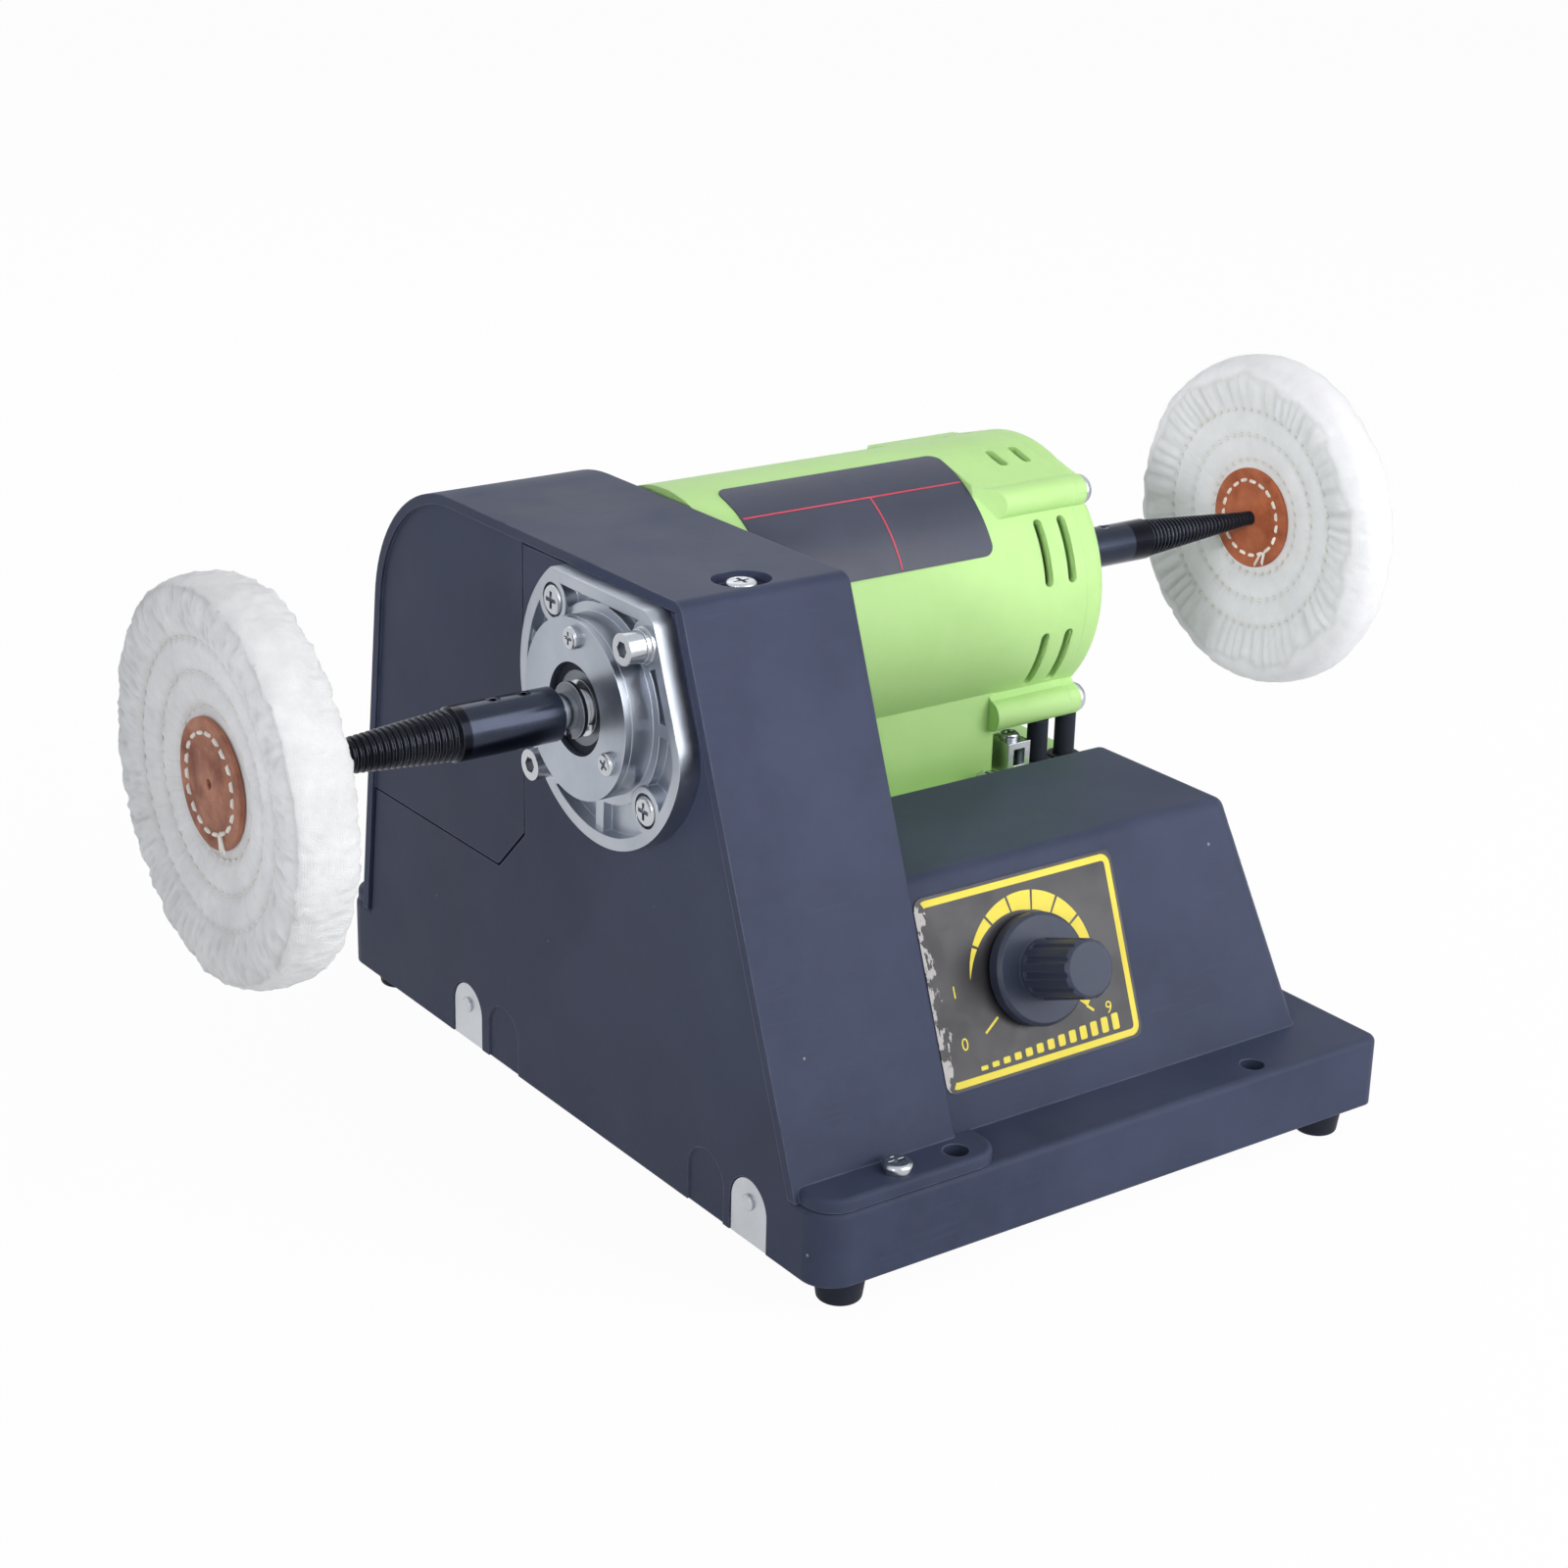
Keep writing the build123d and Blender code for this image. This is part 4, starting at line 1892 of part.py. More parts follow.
def hub_leathers(plane, axis, centre_x, taper, tip_side):
    inner_x = centre_x - tip_side * (cloth_hub_half + leather_thickness)
    inner_bore = taper_radius(inner_x, *taper) + wheel_bore_gap
    outer_x = centre_x + tip_side * cloth_hub_half
    with BuildPart() as pieces:
        with BuildSketch(plane):
            with BuildLine():
                Polyline(
                    (inner_x, inner_bore),
                    (inner_x + tip_side * (leather_thickness - fit_gap), inner_bore),
                    (inner_x + tip_side * (leather_thickness - fit_gap), leather_radius),
                    (inner_x, leather_radius),
                    close=True,
                )
            make_face()
        revolve(axis=axis)
        with BuildSketch(plane):
            with BuildLine():
                Polyline(
                    (outer_x + tip_side * fit_gap, leather_pinhole / 2),
                    (outer_x + tip_side * leather_thickness, leather_pinhole / 2),
                    (outer_x + tip_side * leather_thickness, leather_radius),
                    (outer_x + tip_side * fit_gap, leather_radius),
                    close=True,
                )
            make_face()
        revolve(axis=axis)
    return pieces


left_taper = (left_barrel_outer, left_tip, left_barrel_diameter, left_taper_tip)
right_taper = (right_barrel_outer, right_tip, right_barrel_diameter, right_taper_tip)
left_buff_wheel = buff_wheel(output_plane, output_axis, left_wheel_x, left_taper, left_wheel_diameter / 2)
finish(left_buff_wheel, "left_buff_wheel")
left_hub_leathers = hub_leathers(output_plane, output_axis, left_wheel_x, left_taper, -1)
finish(left_hub_leathers, "left_hub_leathers")
right_buff_wheel = buff_wheel(motor_plane, motor_axis, right_wheel_x, right_taper, right_wheel_diameter / 2)
finish(right_buff_wheel, "right_buff_wheel")
right_hub_leathers = hub_leathers(motor_plane, motor_axis, right_wheel_x, right_taper, 1)
finish(right_hub_leathers, "right_hub_leathers")

# Speed control on the console's slope
with BuildPart() as control_label:
    with BuildSketch(knob_plane) as label_outline:
        rectangle_between(
            label_left - knob_position, label_right - knob_position, label_low - knob_up_slope,
            label_high - knob_up_slope,
        )
        fillet(label_outline.vertices(), label_corner_radius)
        Circle(control_bush_diameter / 2 + fit_gap, mode=Mode.SUBTRACT)
    extrude(amount=label_thickness)
finish(control_label, "control_label")

with BuildPart() as speed_control:
    with BuildSketch(knob_plane.offset(-shell_wall)):
        Circle(control_body_diameter / 2)
    extrude(amount=-control_body_depth)
    with BuildSketch(knob_plane.offset(-shell_wall)):
        Circle(control_bush_diameter / 2)
    extrude(amount=shell_wall + label_thickness + control_bush_reach)
    with BuildSketch(knob_plane.offset(-shell_wall - control_body_depth / 2)):
        Circle(control_shaft_diameter / 2 + running_gap)
    extrude(
        amount=shell_wall + control_body_depth / 2 + label_thickness + control_bush_reach, mode=Mode.SUBTRACT
    )
finish(speed_control, "speed_control")

knob_low = label_thickness + knob_gap
with BuildPart() as speed_control_shaft:
    with BuildSketch(knob_plane.offset(-shell_wall - control_body_depth / 2 + fit_gap)):
        Circle(control_shaft_diameter / 2)
    extrude(amount=shell_wall + control_body_depth / 2 + knob_low + knob_bore_depth - 1)
finish(speed_control_shaft, "speed_control_shaft")

with BuildPart() as speed_control_nut:
    with BuildSketch(knob_plane.offset(label_thickness)):
        RegularPolygon(control_nut_flats / 2, 6, major_radius=False)
        Circle(control_bush_diameter / 2 + fit_gap, mode=Mode.SUBTRACT)
    extrude(amount=control_nut_height)
finish(speed_control_nut, "speed_control_nut")

knob_skirt_top = knob_low + knob_skirt_height
knob_end = knob_skirt_top + knob_grip_height
knob_end_radius = knob_grip_diameter / 2 - knob_draft
knob_shaft_radius = control_shaft_diameter / 2 + fit_gap
knob_turning_plane = Plane(origin=knob_plane.origin, x_dir=slope_normal, z_dir=(1, 0, 0))
knob_axis = Axis(knob_plane.origin, slope_normal)
with BuildPart() as speed_knob:
    with BuildSketch(knob_turning_plane):
        with BuildLine():
            Polyline(
                (knob_low, knob_recess_diameter / 2),
                (knob_low, knob_skirt_diameter / 2),
                (knob_skirt_top - knob_chamfer, knob_skirt_diameter / 2),
                (knob_skirt_top, knob_skirt_diameter / 2 - knob_chamfer),
                (knob_skirt_top, knob_grip_diameter / 2),
                (knob_end - knob_chamfer, knob_end_radius),
                (knob_end, knob_end_radius - knob_chamfer),
                (knob_end, 0),
                (knob_low + knob_bore_depth, 0),
                (knob_low + knob_bore_depth, knob_shaft_radius),
                (knob_low + knob_recess_depth, knob_shaft_radius),
                (knob_low + knob_recess_depth, knob_recess_diameter / 2),
                close=True,
            )
        make_face()
    revolve(axis=knob_axis)
    with BuildSketch(knob_plane.offset(knob_skirt_top + 1.5)):
        with PolarLocations(knob_grip_diameter / 2 + 0.35, knob_flute_count):
            Circle(knob_flute_radius)
    extrude(amount=knob_grip_height, mode=Mode.SUBTRACT)
finish(speed_knob, "speed_knob")

# Control board on the bottom plate
board_z = plate_top + standoff_height
with BuildPart() as control_board:
    with BuildSketch(Plane.XY.offset(board_z)):
        rectangle_between(
            base_left + board_left, base_left + board_left + board_length, base_front + board_front,
            base_front + board_front + board_width,
        )
        with Locations(*board_corners):
            Circle(board_screw_diameter / 2 + fit_gap, mode=Mode.SUBTRACT)
    extrude(amount=board_thickness)
finish(control_board, "control_board")

heat_sink_x = base_left + board_left + board_length * 0.3
heat_sink_y = base_front + board_front + board_width / 2
with BuildPart() as heat_sink:
    with Locations((heat_sink_x, heat_sink_y, board_top)):
        Box(heat_sink_length, heat_sink_width, 4.0, align=(Align.CENTER, Align.CENTER, Align.MIN))
    fin_pitch = (heat_sink_length - 2.0) / (heat_sink_fins - 1)
    for i in range(heat_sink_fins):
        with Locations((heat_sink_x + (i - (heat_sink_fins - 1) / 2) * fin_pitch, heat_sink_y, board_top)):
            Box(2.0, heat_sink_width, heat_sink_height, align=(Align.CENTER, Align.CENTER, Align.MIN))
finish(heat_sink, "heat_sink")

with BuildPart() as board_screws:
    with BuildSketch(Plane.XY.offset(board_top)):
        with Locations(*board_corners):
            Circle(board_screw_diameter)
    extrude(amount=2.0)
    with BuildSketch(Plane.XY.offset(board_top)):
        with Locations(*board_corners):
            Circle(board_screw_diameter / 2)
    extrude(amount=-(board_thickness + standoff_height))
finish(board_screws, "board_screws")

# Cable gland in the platform's rear wall
gland_x = base_left + gland_position
gland_z = deck_z + gland_height
with BuildPart() as mains_gland:
    with BuildSketch(Plane.XZ.offset(-(base_front + platform_rear))):
        with Locations((gland_x, gland_z)):
            RegularPolygon(gland_flats / 2, 6, major_radius=False)
    extrude(amount=-gland_nut_length)
    with BuildSketch(Plane.XZ.offset(-(base_front + platform_rear))):
        with Locations((gland_x, gland_z)):
            Circle(gland_body_diameter / 2)
    extrude(amount=2 * shell_wall)
    with BuildSketch(Plane.XZ.offset(-(base_front + platform_rear) + 2 * shell_wall)):
        with Locations((gland_x, gland_z)):
            Circle(gland_bore_diameter / 2)
    extrude(amount=-(2 * shell_wall + gland_nut_length), mode=Mode.SUBTRACT)
finish(mains_gland, "mains_gland")
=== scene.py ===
import json
import math
import random

import bpy
from mathutils import Matrix, Vector, noise


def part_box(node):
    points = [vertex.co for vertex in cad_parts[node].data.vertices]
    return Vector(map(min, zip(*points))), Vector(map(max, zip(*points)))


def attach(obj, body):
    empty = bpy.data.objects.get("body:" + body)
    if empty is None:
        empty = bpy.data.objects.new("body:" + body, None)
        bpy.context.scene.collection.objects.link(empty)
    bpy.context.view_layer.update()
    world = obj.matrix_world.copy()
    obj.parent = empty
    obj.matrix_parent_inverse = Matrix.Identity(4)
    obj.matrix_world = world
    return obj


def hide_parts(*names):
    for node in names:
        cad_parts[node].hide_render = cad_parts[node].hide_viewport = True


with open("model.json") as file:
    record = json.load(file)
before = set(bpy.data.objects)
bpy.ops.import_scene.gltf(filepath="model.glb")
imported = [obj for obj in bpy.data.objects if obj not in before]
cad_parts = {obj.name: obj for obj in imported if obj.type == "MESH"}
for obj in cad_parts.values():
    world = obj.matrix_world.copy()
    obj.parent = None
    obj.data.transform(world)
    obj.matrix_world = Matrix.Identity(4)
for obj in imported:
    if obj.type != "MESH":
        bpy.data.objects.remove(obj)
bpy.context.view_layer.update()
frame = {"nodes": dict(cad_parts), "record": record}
mm = 0.001
print("frame loaded with", len(frame["nodes"]), "nodes")


def paint(red, green, blue):
    # a screen colour, 0 to 255, as the linear colour that nodes take
    linear = []
    for channel in (red, green, blue):
        level = channel / 255
        linear.append(level / 12.92 if level < 0.04045 else ((level + 0.055) / 1.055) ** 2.4)
    return (*linear, 1)


def ramp(value, start, width):
    # nought up to the start, one beyond the width
    return min(max((value - start) / width, 0), 1)


def midBox(node):
    low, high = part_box(node)
    return (Vector(low) + Vector(high)) / 2


# small helpers for node trees
def addNode(tree, kind, settings=None, values=None):
    node = tree.nodes.new("ShaderNode" + kind)
    for name, value in (settings or {}).items():
        setattr(node, name, value)
    for name, value in (values or {}).items():
        node.inputs[name].default_value = value
    return node


def feed(tree, socket, value):
    # a socket takes either a plain value or another node's output
    if isinstance(value, bpy.types.NodeSocket):
        tree.links.new(value, socket)
    else:
        socket.default_value = value


def calc(tree, operation, first, second=0.0, clamp=False):
    node = addNode(tree, "Math", {"operation": operation, "use_clamp": clamp})
    feed(tree, node.inputs[0], first)
    feed(tree, node.inputs[1], second)
    return node.outputs[0]


def times(tree, first, second):
    return calc(tree, "MULTIPLY", first, second)


def mixColours(tree, factor, first, second):
    node = addNode(tree, "Mix", {"data_type": "RGBA"})
    feed(tree, node.inputs[0], factor)
    feed(tree, node.inputs[6], first)
    feed(tree, node.inputs[7], second)
    return node.outputs[2]


def tinted(tree, mask, share, colour, tint):
    # a share of the tint over the colour, where the mask shows
    return mixColours(tree, times(tree, mask, share), colour, tint)


def remap(tree, value, low, high, start=0.0, end=1.0):
    node = addNode(tree, "MapRange", {}, {"From Min": low, "From Max": high, "To Min": start, "To Max": end})
    tree.links.new(value, node.inputs["Value"])
    return node.outputs["Result"]


def objectPlace(tree):
    return addNode(tree, "TexCoord").outputs["Object"]


def splitPlace(tree):
    # the Object place as its X, Y and Z
    node = addNode(tree, "SeparateXYZ")
    tree.links.new(objectPlace(tree), node.inputs[0])
    return node.outputs


def noiseAt(tree, place, scale, detail=2.0, roughness=0.5):
    node = addNode(tree, "TexNoise", {}, {"Detail": detail, "Roughness": roughness})
    tree.links.new(place, node.inputs["Vector"])
    feed(tree, node.inputs["Scale"], scale)
    return node.outputs["Fac"]


def stretched(tree, values):
    # the Object place through a Mapping node
    node = addNode(tree, "Mapping", {}, values)
    tree.links.new(objectPlace(tree), node.inputs["Vector"])
    return node.outputs["Vector"]


def roundedNormal(tree, width):
    node = addNode(tree, "Bevel", {"samples": 6})
    feed(tree, node.inputs["Radius"], width)
    return node.outputs["Normal"]


def newGroup(name, inputs, outputs):
    tree = bpy.data.node_groups.new(name, "ShaderNodeTree")
    for label, value in inputs.items():
        socket = tree.interface.new_socket(label, in_out="INPUT", socket_type="NodeSocketFloat")
        socket.default_value = value
    for label in outputs:
        tree.interface.new_socket(label, in_out="OUTPUT", socket_type="NodeSocketFloat")
    return tree, tree.nodes.new("NodeGroupInput").outputs, tree.nodes.new("NodeGroupOutput").inputs


def useGroup(tree, group, **values):
    node = addNode(tree, "Group", {"node_tree": group})
    for label, value in values.items():
        feed(tree, node.inputs[label[0].upper() + label[1:]], value)
    return node.outputs


# effects that several finishes share
def makeGrainGroup():
    # fine moulded or cast skin, with a slow drift of tone over the piece
    tree, given, out = newGroup("skinGrain", {"Size": 0.001}, ["Height", "Tone"])
    place = objectPlace(tree)
    scale = calc(tree, "DIVIDE", 1.0, given["Size"])
    fine = noiseAt(tree, place, scale, 3.0, 0.6)
    coarse = noiseAt(tree, place, times(tree, scale, 0.31), 1.0)
    fine, coarse = times(tree, fine, 0.65), times(tree, coarse, 0.35)
    tree.links.new(calc(tree, "ADD", fine, coarse), out["Height"])
    drift = noiseAt(tree, place, 21.0, 5.0, 0.62)
    tree.links.new(remap(tree, drift, 0.3, 0.7), out["Tone"])
    return tree


def makeEdgeGroup():
    # one along the edges of a piece, nought on its faces. Where a finish lightens its edges with it, that is
    # painted highlight, with real wear on metal edges besides; a darker edge colour is the edge's own
    tree, given, out = newGroup("edgeRub", {"Width": 0.0005, "Gain": 4.0}, ["Mask"])
    dot = addNode(tree, "VectorMath", {"operation": "DOT_PRODUCT"})
    tree.links.new(roundedNormal(tree, given["Width"]), dot.inputs[0])
    tree.links.new(addNode(tree, "NewGeometry").outputs["Normal"], dot.inputs[1])
    turned = calc(tree, "SUBTRACT", 1.0, dot.outputs["Value"])
    patchy = remap(tree, noiseAt(tree, objectPlace(tree), 140.0, 3.0), 0.32, 0.62, 0.25, 1.0)
    strong = times(tree, times(tree, turned, given["Gain"]), patchy)
    tree.links.new(calc(tree, "MINIMUM", strong, 1.0, True), out["Mask"])
    return tree


def makeSmearGroup():
    # rubbed patches and faint streaks from handling
    tree, given, out = newGroup("handlingSmears", {"Scale": 30.0}, ["Mask"])
    patches = remap(tree, noiseAt(tree, objectPlace(tree), given["Scale"], 4.0, 0.65), 0.42, 0.7)
    place = stretched(tree, {"Scale": (0.35, 1.0, 6.0), "Rotation": (0.5, 0.3, 0.2)})
    streaks = noiseAt(tree, place, times(tree, given["Scale"], 5.0), 2.0)
    streaks = times(tree, remap(tree, streaks, 0.58, 0.75), 0.5)
    tree.links.new(calc(tree, "MAXIMUM", patches, streaks, True), out["Mask"])
    return tree


def makeSpeckGroup():
    # a few dust specks: the middles of some random cells
    tree, given, out = newGroup("dustSpecks", {"Scale": 260.0, "Share": 0.05}, ["Mask"])
    cells = addNode(tree, "TexVoronoi", {"feature": "F1"})
    tree.links.new(objectPlace(tree), cells.inputs["Vector"])
    tree.links.new(given["Scale"], cells.inputs["Scale"])
    near = calc(tree, "LESS_THAN", cells.outputs["Distance"], 0.11)
    pick = addNode(tree, "SeparateColor")
    tree.links.new(cells.outputs["Color"], pick.inputs["Color"])
    chosen = calc(tree, "LESS_THAN", pick.outputs["Red"], given["Share"])
    tree.links.new(times(tree, near, chosen), out["Mask"])
    return tree


def makeRingGroup():
    # lathe marks: fine rings round an axis that runs along X
    tree, given, out = newGroup("latheRings", {"CentreY": 0.0, "CentreZ": 0.0, "Pitch": 0.0004}, ["Height"])
    place = splitPlace(tree)
    across = calc(tree, "SUBTRACT", place["Y"], given["CentreY"])
    above = calc(tree, "SUBTRACT", place["Z"], given["CentreZ"])
    square = calc(tree, "ADD", times(tree, across, across), times(tree, above, above))
    along = calc(tree, "ADD", calc(tree, "SQRT", square), place["X"])
    wobble = times(tree, noiseAt(tree, objectPlace(tree), 90.0), 0.6)
    turns = calc(tree, "ADD", calc(tree, "DIVIDE", along, given["Pitch"]), wobble)
    tree.links.new(calc(tree, "SINE", times(tree, turns, 2 * math.pi)), out["Height"])
    return tree


def makeWeaveGroup():
    # threads over and under, broken up by loose nap
    tree, given, out = newGroup("clothWeave", {"Pitch": 0.0006}, ["Height", "Tone"])
    place, axes = objectPlace(tree), splitPlace(tree)
    scale = calc(tree, "DIVIDE", 2 * math.pi, given["Pitch"])
    threads = [calc(tree, "SINE", times(tree, axes[axis], scale)) for axis in "XYZ"]
    flat = times(tree, threads[1], threads[2])
    crossed = calc(tree, "ADD", flat, times(tree, threads[0], 0.5))
    nap = noiseAt(tree, place, 1400.0, 4.0, 0.7)
    tree.links.new(calc(tree, "ADD", times(tree, crossed, 0.18), nap), out["Height"])
    soft = noiseAt(tree, place, 95.0, 5.0, 0.65)
    tree.links.new(remap(tree, soft, 0.3, 0.7), out["Tone"])
    return tree


def makeHideGroup():
    # leather: small cells between creases, with slow stains
    tree, given, out = newGroup("hideGrain", {"Size": 0.0009}, ["Height", "Stain"])
    place = objectPlace(tree)
    cells = addNode(tree, "TexVoronoi", {"feature": "DISTANCE_TO_EDGE"})
    tree.links.new(place, cells.inputs["Vector"])
    tree.links.new(calc(tree, "DIVIDE", 1.0, given["Size"]), cells.inputs["Scale"])
    crease = remap(tree, cells.outputs["Distance"], 0.0, 0.18)
    pores = noiseAt(tree, place, 2200.0, 2.0)
    tree.links.new(calc(tree, "ADD", crease, times(tree, pores, 0.6)), out["Height"])
    stain = noiseAt(tree, place, 120.0, 4.0, 0.6)
    tree.links.new(remap(tree, stain, 0.35, 0.68), out["Stain"])
    return tree


skinGrain = makeGrainGroup()
edgeRub = makeEdgeGroup()
handlingSmears = makeSmearGroup()
dustSpecks = makeSpeckGroup()
latheRings = makeRingGroup()
clothWeave = makeWeaveGroup()
hideGrain = makeHideGroup()
print("shared effects ready")


# finishes
def startFinish(name):
    material = bpy.data.materials.new(name)
    material.use_nodes = True
    return material, material.node_tree, material.node_tree.nodes["Principled BSDF"]


def bumpOn(tree, shader, height, depth, under=None):
    bump = addNode(tree, "Bump", {}, {"Strength": 1.0, "Distance": depth})
    tree.links.new(height, bump.inputs["Height"])
    if under is not None:
        tree.links.new(under, bump.inputs["Normal"])
    tree.links.new(bump.outputs["Normal"], shader.inputs["Normal"])


def startSkin(tree, look):
    # what plastic, metal and film share: grain, smears and a colour that drifts
    grain = useGroup(tree, skinGrain, size=look["grainSize"])
    smears = useGroup(tree, handlingSmears, scale=look["smearScale"])["Mask"]
    return grain["Height"], smears, mixColours(tree, grain["Tone"], look["dark"], look["light"])


def edgeMask(tree, look):
    return useGroup(tree, edgeRub, width=look["edgeWidth"], gain=look["edgeGain"])["Mask"]


def roughen(tree, shader, mask, look):
    tree.links.new(remap(tree, mask, 0.0, 1.0, *look["roughness"]), shader.inputs["Roughness"])


def plasticFinish(name, look):
    material, tree, shader = startFinish(name)
    height, smears, colour = startSkin(tree, look)
    colour = tinted(tree, smears, look["smearShare"], colour, look["smear"])
    # painted highlight along the edges, as if they caught the light
    colour = tinted(tree, edgeMask(tree, look), look["edgeShare"], colour, look["edge"])
    if look["dustShare"] > 0:
        dust = useGroup(tree, dustSpecks, scale=look["dustScale"], share=look["dustShare"])["Mask"]
        colour = tinted(tree, dust, look["dustLevel"], colour, look["dust"])
    tree.links.new(colour, shader.inputs["Base Color"])
    roughen(tree, shader, smears, look)
    shader.inputs["Specular IOR Level"].default_value = look["specular"]
    bumpOn(tree, shader, height, look["grainDepth"], roundedNormal(tree, look["roundWidth"]))
    return material


def metalFinish(name, look):
    material, tree, shader = startFinish(name)
    height, smears, colour = startSkin(tree, look)
    # the edges lighten: partly worn bright metal, partly painted highlight
    edges = edgeMask(tree, look)
    colour = tinted(tree, edges, look["edgeShare"], colour, look["edge"])
    if "threads" in look:
        # both spindles lie along X, so their threads start at one distance from the middle
        away = calc(tree, "ABSOLUTE", splitPlace(tree)["X"])
        outer = remap(tree, away, look["threadsFrom"], look["threadsFull"])
        # the dark threads take the edge colour on their crests, as painted glints
        colour = mixColours(tree, outer, colour, mixColours(tree, edges, look["threads"], look["edge"]))
    tree.links.new(colour, shader.inputs["Base Color"])
    roughen(tree, shader, smears, look)
    shader.inputs["Metallic"].default_value = look["metallic"]
    if "rings" in look:
        middleY, middleZ = look["rings"]
        rings = useGroup(tree, latheRings, centreY=middleY, centreZ=middleZ, pitch=look["ringPitch"])
        height = calc(tree, "ADD", times(tree, rings["Height"], look["ringShare"]), height)
    bumpOn(tree, shader, height, look["grainDepth"], roundedNormal(tree, look["roundWidth"]))
    return material


def clothFinish(name, look):
    material, tree, shader = startFinish(name)
    weave = useGroup(tree, clothWeave, pitch=look["pitch"])
    colour = mixColours(tree, weave["Tone"], look["dark"], look["light"])
    if "fold" in look:
        # painted shade of folds, ring grooves, stitch pits and the rim, as the wheel's own mesh marks it;
        # fold is the colour of that shade
        shade = addNode(tree, "Attribute", {"attribute_name": "foldShade"})
        colour = mixColours(tree, shade.outputs["Fac"], colour, look["fold"])
    tree.links.new(colour, shader.inputs["Base Color"])
    shader.inputs["Roughness"].default_value = look["roughness"]
    shader.inputs["Specular IOR Level"].default_value = look["specular"]
    shader.inputs["Sheen Weight"].default_value = look["sheen"]
    bumpOn(tree, shader, weave["Height"], look["depth"])
    return material


def hideFinish(name, look):
    material, tree, shader = startFinish(name)
    hide = useGroup(tree, hideGrain, size=look["grainSize"])
    smears = useGroup(tree, handlingSmears, scale=look["smearScale"])["Mask"]
    colour = mixColours(tree, hide["Stain"], look["light"], look["dark"])
    colour = tinted(tree, smears, look["smearShare"], colour, look["smear"])
    colour = tinted(tree, edgeMask(tree, look), look["edgeShare"], colour, look["edge"])
    tree.links.new(colour, shader.inputs["Base Color"])
    roughen(tree, shader, hide["Stain"], look)
    bumpOn(tree, shader, hide["Height"], look["depth"])
    return material


def filmFinish(name, look):
    material, tree, shader = startFinish(name)
    height, smears, colour = startSkin(tree, look)
    colour = tinted(tree, smears, look["smearShare"], colour, look["smear"])
    if "backing" in look:
        # towards its left edge the film is rubbed through to its backing
        near = remap(tree, splitPlace(tree)["X"], look["wornFrom"], look["wornTo"], 1.0, 0.0)
        torn = noiseAt(tree, stretched(tree, {"Scale": look["tearStretch"]}), look["tearScale"], 5.0, 0.66)
        torn = calc(tree, "ADD", torn, times(tree, near, look["tearPull"]))
        worn = remap(tree, torn, *look["tearLevels"])
        worn = times(tree, worn, calc(tree, "GREATER_THAN", near, 0.02))
        colour = mixColours(tree, worn, colour, look["backing"])
    tree.links.new(colour, shader.inputs["Base Color"])
    roughen(tree, shader, smears, look)
    bumpOn(tree, shader, height, look["grainDepth"])
    return material


outputLine = midBox("output_shaft").yz
motorLine = midBox("armature_shaft").yz

plasticBase = {
    "dark": paint(53, 59, 80), "light": paint(62, 68, 90), "roughness": (0.42, 0.54), "specular": 0.1,
    "smear": paint(78, 84, 108), "smearShare": 0.3, "smearScale": 26.0,
    # edge is the colour of a painted highlight along the plastic's edges
    "edge": paint(146, 151, 170), "edgeShare": 0.42, "edgeWidth": 0.7 * mm, "edgeGain": 5.0,
    "dust": paint(190, 190, 195), "dustScale": 210.0, "dustShare": 0.012, "dustLevel": 0.45,
    "grainSize": 0.55 * mm, "grainDepth": 0.05 * mm, "roundWidth": 0.5 * mm,
}
cleanBase = {**plasticBase, "dustShare": 0.0}
inkBase = {
    **cleanBase, "edgeWidth": 0.2 * mm, "roughness": (0.4, 0.5), "grainDepth": 0.008 * mm,
    "roundWidth": 0.05 * mm,
}
plastics = {
    "blackPlastic": plasticBase,
    "greenShell": {
        **cleanBase, "dark": paint(174, 215, 134), "light": paint(183, 224, 145), "roughness": (0.42, 0.52),
        "smear": paint(192, 229, 158), "smearShare": 0.35, "edge": paint(212, 240, 186), "edgeShare": 0.3,
        "grainDepth": 0.03 * mm, "specular": 0.3},
    "knobPlastic": {
        **cleanBase, "dark": paint(46, 52, 68), "light": paint(54, 60, 78), "roughness": (0.36, 0.48),
        "edgeShare": 0.2, "specular": 0.25, "grainDepth": 0.02 * mm},
    "innerPlastic": {**cleanBase, "dark": paint(38, 38, 42), "light": paint(48, 48, 52)},
    "rubber": {
        **plasticBase, "dark": paint(32, 35, 45), "light": paint(40, 43, 54), "smear": paint(56, 60, 74),
        "edgeShare": 0.15, "roughness": (0.5, 0.7), "dustShare": 0.02},
    "carbon": {
        **cleanBase, "dark": paint(36, 36, 38), "light": paint(50, 50, 52), "roughness": (0.45, 0.6)},
    "circuitBoard": {
        **cleanBase, "dark": paint(20, 74, 44), "light": paint(28, 92, 54), "smear": paint(40, 110, 66),
        "edge": paint(150, 150, 96), "roughness": (0.25, 0.4), "grainDepth": 0.01 * mm},
    "yellowInk": {
        **inkBase, "dark": paint(226, 208, 78), "light": paint(240, 224, 96), "smear": paint(214, 198, 96),
        "edge": paint(200, 180, 80)},
    "redInk": {
        **inkBase, "dark": paint(196, 66, 84), "light": paint(214, 88, 102), "smear": paint(200, 110, 120),
        "edge": paint(180, 70, 80)},
}

